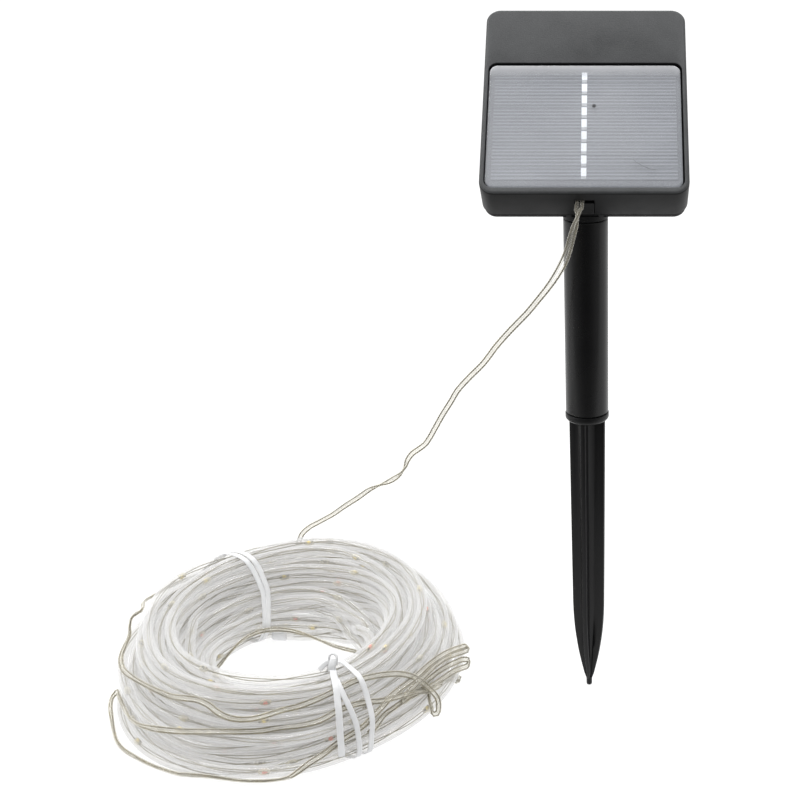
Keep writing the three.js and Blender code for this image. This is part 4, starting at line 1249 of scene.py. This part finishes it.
def twin_frames(P, T_, U, name, off=None):
    """Two solid clear sheaths side by side along U, each with a stranded conductor towards its outer side."""
    W = np.cross(T_, U)
    off = np.full(len(P), LEAD_OFF) if off is None else off
    obs = []
    for k, tag in ((-1, "a"), (1, "b")):
        C = P + U * (k * off)[:, None]
        pl = Pile()
        pl.add(*solid_tube(C, U, W, LEAD_SH, 10))
        sh = pl.build(f"{name}_sheath_{tag}", M_SHEATH)
        pl = Pile()
        # seven strands are suggested by a fluted conductor that turns along its length
        n_ = len(C)
        sd = 12
        arc_ = np.concatenate([[0], np.cumsum(np.linalg.norm(np.diff(C, axis=0), axis=1))])
        ang = np.arange(sd) * 2 * math.pi / sd
        rad = LEAD_CU * (1 + 0.10 * np.cos(6 * ang))
        ph = arc_ / 9.0 * 2 * math.pi
        C = C + U * (k * 0.27)
        V = (C[:, None, :] + (rad[None, :] * np.cos(ang[None, :] + ph[:, None]))[:, :, None] * U[:, None, :]
             + (rad[None, :] * np.sin(ang[None, :] + ph[:, None]))[:, :, None] * W[:, None, :]).reshape(-1, 3)
        i_ = np.arange(n_ - 1)[:, None] * sd
        j_ = np.arange(sd)[None, :]
        k_ = (j_ + 1) % sd
        Q = np.stack([i_ + j_, i_ + k_, i_ + sd + k_, i_ + sd + j_], -1).reshape(-1, 4)
        # ends sit just inside the sheath
        V = np.concatenate([V, C[:1], C[-1:]])
        pl.add(V, Q, np.array(fans(0, sd, n_ * sd, n_ * sd + 1, (n_ - 1) * sd)))
        cu = pl.build(f"{name}_core_{tag}", M_CU)
        obs += [(sh, tag), (cu, tag)]
    return obs


# (x, y, z, turn of the pair in degrees from lying across the view, half spacing)
HANG = [
    (*loc(-2.2, 5.0, -8.6), -180, 1.1), (*loc(-2.3, 1.8, -8.7), -180, 1.15), (*loc(-2.5, -0.6, -9.2), -178, 1.35), (*loc(-2.8, -1.9, -10.8), -170, 1.5),
    (-3.0, -28.0, 298.9, -150, 1.25), (-3.6, -28.2, 295.8, -95, 0.95), (-4.7, -27.8, 291.3, -25, 0.97), (-6.6, -26.9, 284.7, 0, 1.02),
    (-8.4, -25.7, 278.0, 0, 1.12), (-11.0, -24.1, 271.0, 0, 1.30), (-14.7, -22.0, 263.8, 0, 1.22), (-19.3, -19.5, 256.4, 0, 1.05),
    (-24.8, -17.0, 248.9, 0, 0.97), (-30.7, -13.2, 240.8, 0, 0.95), (-35.3, -10.7, 235.3, 0, 0.95), (-40.3, -8.0, 229.4, 0, 0.95),
    (-48.6, -2.9, 218.7, 0, 0.95), (-56.9, 3.0, 206.4, 0, 0.95), (-66.2, 8.4, 195.5, 0, 0.95), (-73.8, 13.8, 185.4, 0, 0.95),
    (-77.9, 17.9, 177.7, 0, 0.95), (-83.1, 21.8, 168.9, 0, 0.95), (-89.3, 27.3, 157.2, 0, 0.95), (-93.6, 31.3, 149.1, 0, 0.95),
    (-96.7, 33.9, 144.2, 0, 0.95), (-100.7, 36.0, 140.3, 0, 0.95), (-105.2, 38.0, 136.4, 5, 0.95), (-109.0, 41.1, 130.6, 20, 0.95),
    (-111.5, 44.8, 124.5, 60, 0.95), (-115.0, 48.8, 118.4, 115, 0.95), (-120.3, 53.7, 112.3, 170, 0.95), (-125.4, 58.0, 107.9, 215, 0.95),
    (-130.6, 61.5, 104.5, 265, 0.95), (-138.6, 67.2, 98.4, 325, 0.95), (-147.8, 74.3, 89.4, 358, 0.95), (-160.1, 85.4, 77.3, 372, 0.95),
    (-170.5, 95.2, 66.5, 385, 0.95), (-181.7, 103.7, 56.8, 392, 0.95), (-191.9, 109.5, 48.5, 375, 0.95), (-196.3, 110.5, 44.0, 360, 0.95),
    (-199.2, 111.5, 38.0, 355, 0.95), (-201.5, 112.0, 31.0, 350, 0.95)]
HANG = np.array(HANG)
hang_f = fine(HANG[:, :3], 2.0)


def along_of(P):
    return np.concatenate([[0], np.cumsum(np.linalg.norm(np.diff(P, axis=0), axis=1))])


a_c, a_f = along_of(HANG[:, :3]), along_of(hang_f)
a_f = a_f * (a_c[-1] / a_f[-1])
phi = np.radians(np.interp(a_f, a_c, HANG[:, 3]))
off_h = np.interp(a_f, a_c, HANG[:, 4])
for _ in range(6):
    phi[1:-1] = 0.25 * phi[:-2] + 0.5 * phi[1:-1] + 0.25 * phi[2:]
STAND = np.array([13.7, -637.1, 440.7])
T_h = np.gradient(hang_f, axis=0)
T_h /= np.linalg.norm(T_h, axis=1)[:, None]
V_h = hang_f - STAND
F_h = np.cross(T_h, V_h)
F_h /= np.linalg.norm(F_h, axis=1)[:, None]
U_h = F_h * np.cos(phi)[:, None] + np.cross(T_h, F_h) * np.sin(phi)[:, None]
for ob, tag in twin_frames(hang_f, T_h, U_h, "lead_hang", off_h):
    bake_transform(ob)
    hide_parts(f"lead_core_{tag}")


def polar(deg, r, z):
    a = math.radians(deg)
    return [COIL[0] + r * math.cos(a), COIL[1] + r * math.sin(a), COIL[2] + z]


# the rest of the lead: behind the coil, round its outside, folded at the right, back, and round the front again
LAID = [
    [-201.5, 112.0, 31.0], [-203.6, 111.5, 26.5], [-208.5, 109.5, 24.6], polar(115, 104, -1), polar(130, 102, 2), polar(150, 100, 7), polar(164, 96, 12),
    polar(174, 92, 17.5), [-268.0, 8.0, 48.0],
    [-266.4, -0.1, 50.7], [-271.5, -0.6, 47.1], [-272.7, -2.8, 42.6], [-271.9, -7.3, 38.5], [-272.3, -14.4, 36.2], [-271.6, -22.2, 35.4],
    [-269.0, -30.2, 35.9], [-264.2, -38.8, 35.9], [-256.3, -47.0, 36.7], [-247.1, -55.3, 38.1], [-236.1, -63.9, 39.4], [-226.1, -70.1, 40.1],
    [-216.4, -75.2, 42.6], [-208.8, -77.1, 42.9], [-202.9, -79.3, 41.5], [-197.7, -82.4, 39.2], [-192.5, -84.9, 37.8], [-186.3, -86.0, 36.7],
    [-178.7, -85.9, 36.7], [-171.8, -85.1, 38.0], [-164.4, -81.2, 38.6], [-154.5, -77.1, 39.1], [-146.8, -73.3, 40.5], [-138.9, -69.3, 42.7],
    [-132.4, -64.2, 44.0], [-127.3, -60.2, 44.3], [-121.3, -55.0, 42.6], [-112.3, -48.4, 39.7], [-105.4, -43.1, 36.1], [-99.8, -39.7, 32.0],
    [-94.8, -37.7, 26.5], [-90.3, -37.0, 20.7], [-87.0, -37.4, 15.0], [-86.6, -39.4, 10.6], [-87.6, -41.5, 7.6], [-89.6, -42.2, 7.6],
    [-91.2, -40.6, 11.2], [-92.6, -34.0, 13.6], [-93.4, -24.0, 13.0], [-91.6, -15.5, 11.6], [-88.0, -9.0, 10.8], [-83.8, -4.2, 11.3], [-80.6, -1.8, 10.0],
    [-78.2, -0.8, 6.9], [-78.9, -2.0, 4.9], [-81.4, -5.0, 7.6], [-85.2, -11.0, 10.0], [-88.0, -18.0, 12.8],
[-88.5, -27.5, 17.0], [-92.9, -35.8, 19.8],
    [-98.2, -42.8, 24.0], [-104.7, -51.1, 27.1], [-113.6, -58.9, 29.3], [-121.9, -64.7, 32.5], [-127.4, -68.3, 33.7], [-132.0, -72.0, 34.5],
    [-136.9, -75.0, 33.9], [-144.1, -78.6, 31.8], [-154.4, -81.2, 30.5], [-164.6, -83.6, 29.9], [-172.7, -85.5, 29.1], [-183.5, -87.6, 29.7],
    [-194.9, -87.8, 29.8], [-207.1, -85.8, 28.4], [-219.6, -83.4, 27.0], [-232.2, -80.7, 26.4], [-244.6, -72.8, 23.3], [-253.4, -63.7, 20.9],
    [-259.6, -54.3, 18.8], [-264.9, -45.7, 17.0], [-269.6, -38.4, 17.4], [-273.0, -33.5, 17.2], [-274.9, -35.5, 15.0], [-274.0, -41.9, 12.6],
    [-271.2, -48.5, 9.8], [-267.8, -55.8, 7.4], [-263.4, -63.3, 5.3], [-257.1, -69.7, 4.3], [-248.9, -75.2, 3.8], [-239.4, -80.3, 3.0],
    [-230.0, -84.8, 3.2], [-220.8, -88.9, 4.1], [-211.9, -91.8, 5.9], [-202.6, -94.1, 6.8], [-195.4, -95.4, 6.5], [-187.5, -96.5, 5.8],
    [-179.7, -97.3, 5.8], [-168.3, -96.9, 6.1], [-160.5, -96.7, 7.9], [-155.6, -96.5, 10.5], [-148.7, -92.5, 13.5], [-142.1, -87.1, 14.9],
    [-136.9, -82.1, 16.7], [-132.1, -78.0, 18.3], [-127.2, -75.3, 20.2], [-122.6, -73.0, 22.5], [-117.2, -68.6, 26.3], [-112.4, -61.4, 28.6],
    [-109.4, -54.9, 29.6], [-105.5, -48.7, 30.4], [-101.0, -42.2, 30.4], [-97.3, -35.3, 30.4], [-92.9, -26.0, 30.4], [-88.4, -16.1, 29.0],
    [-82.9, -4.5, 26.0], [-78.0, 4.2, 22.9], [-74.6, 8.6, 20.9], [-73.6, 8.8, 18.8], [-75.4, 5.6, 19.4], [-80.2, -2.4, 22.4],
    [-86.0, -14.0, 26.0], [-90.6, -24.4, 27.8], [-95.4, -34.0, 27.8], [-99.6, -41.6, 27.4], [-104.0, -48.2, 26.4], [-106.0, -51.0, 24.6], [-104.8, -49.0, 22.8],
    [-100.6, -41.6, 22.6], [-95.6, -32.6, 22.2], [-90.6, -22.6, 21.2], [-85.6, -12.4, 19.4],
    [-80.6, -3.0, 16.8], [-76.4, 3.6, 14.4], [-74.2, 6.0, 12.0], [-74.6, 4.6, 9.8], [-78.2, -1.4, 10.9], [-84.2, -12.2, 14.2],
    [-89.2, -22.6, 17.0], [-94.4, -32.6, 19.4], [-99.4, -41.0, 21.6], [-104.6, -48.8, 23.0], [-109.6, -56.6, 23.4], [-113.4, -62.8, 22.4],
    [-116.0, -68.0, 20.4], [-119.6, -72.6, 17.4]]
INNER = [
    [-139.0, 26.0, 3.6], [-149.6, 28.2, 5.0], [-158.8, 29.2, 7.0], [-169.4, 33.0, 9.0], [-177.4, 35.5, 11.0], [-185.6, 38.1, 12.5],
    [-193.9, 40.4, 13.0], [-201.4, 40.0, 13.9], [-207.3, 37.1, 14.8], [-213.3, 31.3, 15.4], [-217.8, 24.6, 15.6], [-221.7, 18.9, 13.6],
    [-226.0, 16.8, 10.0], [-230.6, 15.7, 5.7], [-234.5, 11.0, 3.6]]


def press(P, radius, rounds=16):
    """Moves a path's points out of the rope strands, keeping it smooth. Gives the path and its outward direction."""
    start_ = P.copy()
    P = P.copy()
    fixed = ROPE_F
    N_ = np.zeros_like(P)
    for it in range(rounds):
        for i0 in range(0, len(P), 64):
            q = P[i0:i0 + 64]
            dv = q[:, None, :] - fixed[None]
            L = np.sqrt((dv**2).sum(-1))
            k = L.argmin(1)
            l = L[np.arange(len(q)), k]
            n_ = dv[np.arange(len(q)), k] / np.maximum(l, 1e-6)[:, None]
            P[i0:i0 + 64] += n_ * np.clip(ROPE_R + radius - l, 0, 1.5)[:, None]
            w = np.exp(-np.clip(L - l[:, None], 0, 30) / 2.5)
            N_[i0:i0 + 64] = ((dv / L[..., None]) * w[..., None]).sum(1)
        P[:, 2] = np.maximum(P[:, 2], radius + 0.35)
        if it < rounds - 1:
            E = P - start_
            for _ in range(8 if it < rounds - 3 else 3):
                E[1:-1] += 0.5 * (0.5 * (E[:-2] + E[2:]) - E[1:-1])
            P = start_ + E
    N_ /= np.linalg.norm(N_, axis=1)[:, None]
    for _ in range(40):
        N_[1:-1] = 0.25 * N_[:-2] + 0.5 * N_[1:-1] + 0.25 * N_[2:]
    N_ /= np.linalg.norm(N_, axis=1)[:, None]
    return P, N_


def laid_twin(P, N_, roll, name):
    """The twin lead lying flat against the coil."""
    T_ = np.gradient(P, axis=0)
    T_ /= np.linalg.norm(T_, axis=1)[:, None]
    U = np.cross(T_, N_)
    U /= np.linalg.norm(U, axis=1)[:, None]
    W = np.cross(U, T_)
    c, s_ = np.cos(roll)[:, None], np.sin(roll)[:, None]
    return twin_frames(P, T_, U * c + W * s_, name)


LEAD_F, LEAD_N = press(fine(np.array(LAID), 1.8), 1.15)
roll = 0.28 * smooth_noise(len(LEAD_F), 40, 1.0, np.random.default_rng(41))
for ob, tag in laid_twin(LEAD_F, LEAD_N, roll, "lead_laid"):
    put(ob, "stake_and_coil", f"lead_core_{tag}", slot="clear_pvc")
INNER_F, INNER_N = press(fine(np.array(INNER), 2.2), 1.25)
for ob, tag in laid_twin(INNER_F, INNER_N, 0.5 + 0.3 * np.sin(np.linspace(0, 7, len(INNER_F))), "lead_inner"):
    put(ob, "stake_and_coil", f"lead_core_{tag}", slot="clear_pvc")
ALL_LOOPS = [LEAD_F]


# ------------------------------------------------------------------ ties, built over the strands and the lead
def lead_at(deg):
    """Where the loops cross the section at an angle: (r, z, radius)."""
    out = []
    for P in ALL_LOOPS:
        q = P - COIL
        a = np.degrees(np.arctan2(q[:, 1], q[:, 0])) % 360.0
        dd = (a - deg + 180) % 360 - 180
        for i in range(len(P) - 1):
            if dd[i] * dd[i + 1] <= 0 and abs(dd[i]) < 20:
                out.append((math.hypot(q[i, 0], q[i, 1]), q[i, 2], 1.9))
    return [o for o in out if o[0] < 112]


def ring3(q, deg):
    a = math.radians(deg)
    return COIL + np.stack([q[:, 0] * math.cos(a), q[:, 0] * math.sin(a), q[:, 1]], 1)


def tangent_dir(deg):
    a = math.radians(deg)
    return np.array([-math.sin(a), math.cos(a), 0.0])


def around(stops, off, n=150, clear_lead=True):
    """A closed loop round the bundle. stops: (share of the way round from the inner foot, angle)."""
    us = np.array([a for a, _ in stops])
    ds = np.array([b for _, b in stops])
    cache = {}
    out = []
    for i in range(n):
        dg = float(np.interp(i / n, us, ds))
        key = round(dg * 2) / 2
        if key not in cache:
            cache[key] = wrap_path(key, off, lead_at(key) if clear_lead else None, n=n)
        out.append((*cache[key][i], dg))
    q = np.array(out)
    for _ in range(12):
        q[:, :2] = 0.25 * np.roll(q[:, :2], 1, 0) + 0.5 * q[:, :2] + 0.25 * np.roll(q[:, :2], -1, 0)
        q[:, 2] = 0.25 * np.roll(q[:, 2], 1) + 0.5 * q[:, 2] + 0.25 * np.roll(q[:, 2], -1)
    a = np.radians(q[:, 2])
    return COIL + np.stack([q[:, 0] * np.cos(a), q[:, 0] * np.sin(a), q[:, 1]], 1), q


pile_b = Pile()
for off, stops in ((0.75, [(0, 134), (0.15, 137), (0.3, 138), (0.5, 137), (0.62, 134.5), (0.72, 131.5), (0.8, 127), (0.88, 124.5), (0.95, 129), (1, 134)]),
                   (0.90, [(0, 131), (0.15, 136), (0.3, 136), (0.5, 134), (0.62, 131.5), (0.72, 128), (0.8, 123.0), (0.88, 121.0), (0.95, 126), (1, 131)])):
    P3, _ = around(stops, off)
    strap(pile_b, P3, tangent_dir(127), 3.3, 0.7, close=True)
ob = pile_b.build("back_tie_straps", M_TIE)
put(ob, "stake_and_coil", "tie_back", slot="tie_plastic")

pile_f = Pile()
loops_f = []
for off, stops in ((0.80, [(0, 297), (0.15, 298), (0.3, 300.5), (0.42, 302.4), (0.5, 302.8), (0.56, 301.7), (0.62, 300.4), (0.68, 300.2), (0.76, 301.2), (0.82, 302.3), (0.9, 298.5), (0.96, 297), (1, 297)]),
                   (0.95, [(0, 298), (0.15, 300), (0.3, 304), (0.42, 306), (0.5, 307.7), (0.6, 308.2), (0.68, 307.5), (0.76, 305.8), (0.82, 304), (0.9, 299.5), (0.96, 298), (1, 298)])):
    P3, q3 = around(stops, off)
    loops_f.append((P3, q3))
    strap(pile_f, P3, tangent_dir(302), 3.1, 0.75, close=True)
P3, q3 = around([(0, 297), (0.40, 296.4), (0.44, 296.9), (0.5, 297.4), (0.6, 298.5), (0.68, 299.8), (0.76, 302.0), (0.82, 303.6), (1, 304)], 0.85, n=200)
low = int(np.argmin(np.abs(q3[60:120, 1] + 14.5)) + 60)
top = int(np.argmax(q3[:, 1])) + 4
strap(pile_f, P3[low:top], tangent_dir(299), 3.7, 0.8)
# the knot on the inner shoulder: a folded strap and a short twist
kp = P3[top - 4] + np.array([0.0, -1.2, 1.4])
inward = np.array([-math.cos(math.radians(303)), -math.sin(math.radians(303)), 0.0])
tdir = tangent_dir(303)
upv = np.array([0, 0, 1.0])
t_ = np.linspace(0, 1, 40)
# a loop of the strap stands up over the knot, seen from the front as a small ring
side = np.array([1.0, 0.0, 0.0])
facing = np.array([0.0, -0.93, 0.37])
rise = np.cross(side, facing) * -1.0
rise = rise if rise[2] > 0 else -rise
t2 = np.linspace(0, 2 * math.pi, 41)[:-1]
loop = kp[None] + side * 1.2 + np.outer(2.3 * np.cos(t2), side) + np.outer(3.4 + 2.7 * np.sin(t2), rise) + np.outer(1.0 + 0.5 * np.cos(t2), facing)
strap(pile_f, loop, facing, 2.0, 1.1, close=True)
# the strap comes into the knot from the left, over the shoulder, and its other end leaves it short
left = kp[None] + np.outer(-7.6 * t_ + 1.0, side) + np.outer(1.6 + 1.2 * np.sin(math.pi * t_) - 4.6 * t_, rise) + np.outer(0.8 - 0.6 * t_, facing)
strap(pile_f, left, rise * 0.9 + side * 0.3, 3.0, 0.8)
down = kp[None] + np.outer(1.6 - 1.2 * t_, side) + np.outer(3.2 - 7.0 * t_, rise) + np.outer(1.6 + 0.9 * np.sin(math.pi * t_), facing)
strap(pile_f, down, side, 3.8, 0.8)
vk, qk, tk = ellipsoid(kp + side * 1.4 + rise * 1.0, side, rise, facing, 2.7, 2.0, 14, 9)
pile_f.add(vk, qk, tk)
ob = pile_f.build("front_tie_straps", M_TIE)
put(ob, "stake_and_coil", "tie_front", slot="tie_plastic")

# ------------------------------------------------------------------ stage, light, camera
me = bpy.data.meshes.new("floor")
me.from_pydata([(-9, -0.22, -0.0004), (9, -0.22, -0.0004), (9, 12, -0.0004), (-9, 12, -0.0004)], [], [(0, 1, 2, 3)])
floor = bpy.data.objects.new("floor", me)
SCENE.collection.objects.link(floor)
m, nt, out = new_mat("floor_pale")
p = node(nt, "ShaderNodeBsdfPrincipled")
nt.links.new(ramp(nt, noise(nt, coords(nt), 3.0, 2.0), [(0.3, (0.24, 0.24, 0.24)), (0.7, (0.26, 0.26, 0.26))]), p.inputs["Base Color"])
p.inputs["Roughness"].default_value = 0.9
p.inputs["Specular IOR Level"].default_value = 0.0
p.inputs["Emission Color"].default_value = (1, 1, 1, 1)
p.inputs["Emission Strength"].default_value = 0.86
nt.links.new(p.outputs[0], out.inputs["Surface"])
me.materials.append(m)

world = bpy.data.worlds.new("studio")
SCENE.world = world
world.use_nodes = True
bg = world.node_tree.nodes["Background"]
bg.inputs["Color"].default_value = (1, 1, 1, 1)
bg.inputs["Strength"].default_value = 1.0
wt = world.node_tree
geo = wt.nodes.new("ShaderNodeTexCoord")
sepw = wt.nodes.new("ShaderNodeSeparateXYZ")
wt.links.new(geo.outputs["Generated"], sepw.inputs[0])
lp = wt.nodes.new("ShaderNodeLightPath")
sky = ramp(wt, maprange(wt, sepw.outputs["Z"], -1, 1, 0, 1), [(0.0, (0.35,) * 3), (0.46, (0.45,) * 3), (0.56, (0.85,) * 3), (1.0, (1.2,) * 3)])
# the side the camera stands on is dark near the horizon
back = maprange(wt, sepw.outputs["Y"], -0.95, -0.60, 0.16, 1.0)
dim = node(wt, "ShaderNodeMix", data_type="RGBA", blend_type="MULTIPLY")
dim.inputs["Factor"].default_value = 1.0
wt.links.new(sky, dim.inputs["A"])
tri = node(wt, "ShaderNodeCombineXYZ")
for i_ in range(3):
    wt.links.new(back, tri.inputs[i_])
wt.links.new(tri.outputs[0], dim.inputs["B"])
sky = dim.outputs["Result"]
mixw = node(wt, "ShaderNodeMix", data_type="RGBA")
wt.links.new(lp.outputs["Is Camera Ray"], mixw.inputs["Factor"])
wt.links.new(sky, mixw.inputs["A"])
mixw.inputs["B"].default_value = (1.05, 1.05, 1.05, 1)
wt.links.new(mixw.outputs["Result"], bg.inputs["Color"])


def area(name, where, size, power, to, size_y=None):
    l = bpy.data.lights.new(name, "AREA")
    l.energy, l.size = power, size
    if size_y:
        l.shape, l.size_y = "RECTANGLE", size_y
    o = bpy.data.objects.new(name, l)
    o.location = where
    o.rotation_euler = (Vector(to) - Vector(where)).to_track_quat("-Z", "Y").to_euler()
    SCENE.collection.objects.link(o)
    return o


area("key_top", (-0.25, 0.30, 1.25), 1.5, 10.0, (-0.12, 0.0, 0.1), 0.22)
area("strip_left", (-1.25, -0.35, 0.75), 0.24, 5.0, (-0.1, 0.0, 0.1), 1.2)
area("strip_right", (1.1, -0.3, 0.8), 0.25, 1.8, (-0.05, 0.0, 0.12), 1.0)

cam_data = bpy.data.cameras.new("camera")
cam = bpy.data.objects.new("camera", cam_data)
SCENE.collection.objects.link(cam)
SCENE.camera = cam
cam.location = (0.0137, -0.6371, 0.4407)
cam.rotation_euler = (math.radians(90 - 21.8), 0, 0)
cam_data.sensor_width = 36.0
cam_data.lens = 55.8
cam_data.clip_start, cam_data.clip_end = 0.01, 50
# the view's centre stands left of the optical axis, only for this standpoint
drv = cam_data.driver_add("shift_x").driver
drv.type = "SCRIPTED"
for nm, path in (("lx", "location.x"), ("ly", "location.y")):
    v_ = drv.variables.new()
    v_.name = nm
    v_.targets[0].id = cam
    v_.targets[0].data_path = path
drv.expression = "-0.26475 if abs(lx - 0.0137) < 0.0004 and abs(ly + 0.6371) < 0.0004 else 0.0"
SCENE.view_settings.view_transform = "Standard"
SCENE.cycles.transparent_max_bounces = 24
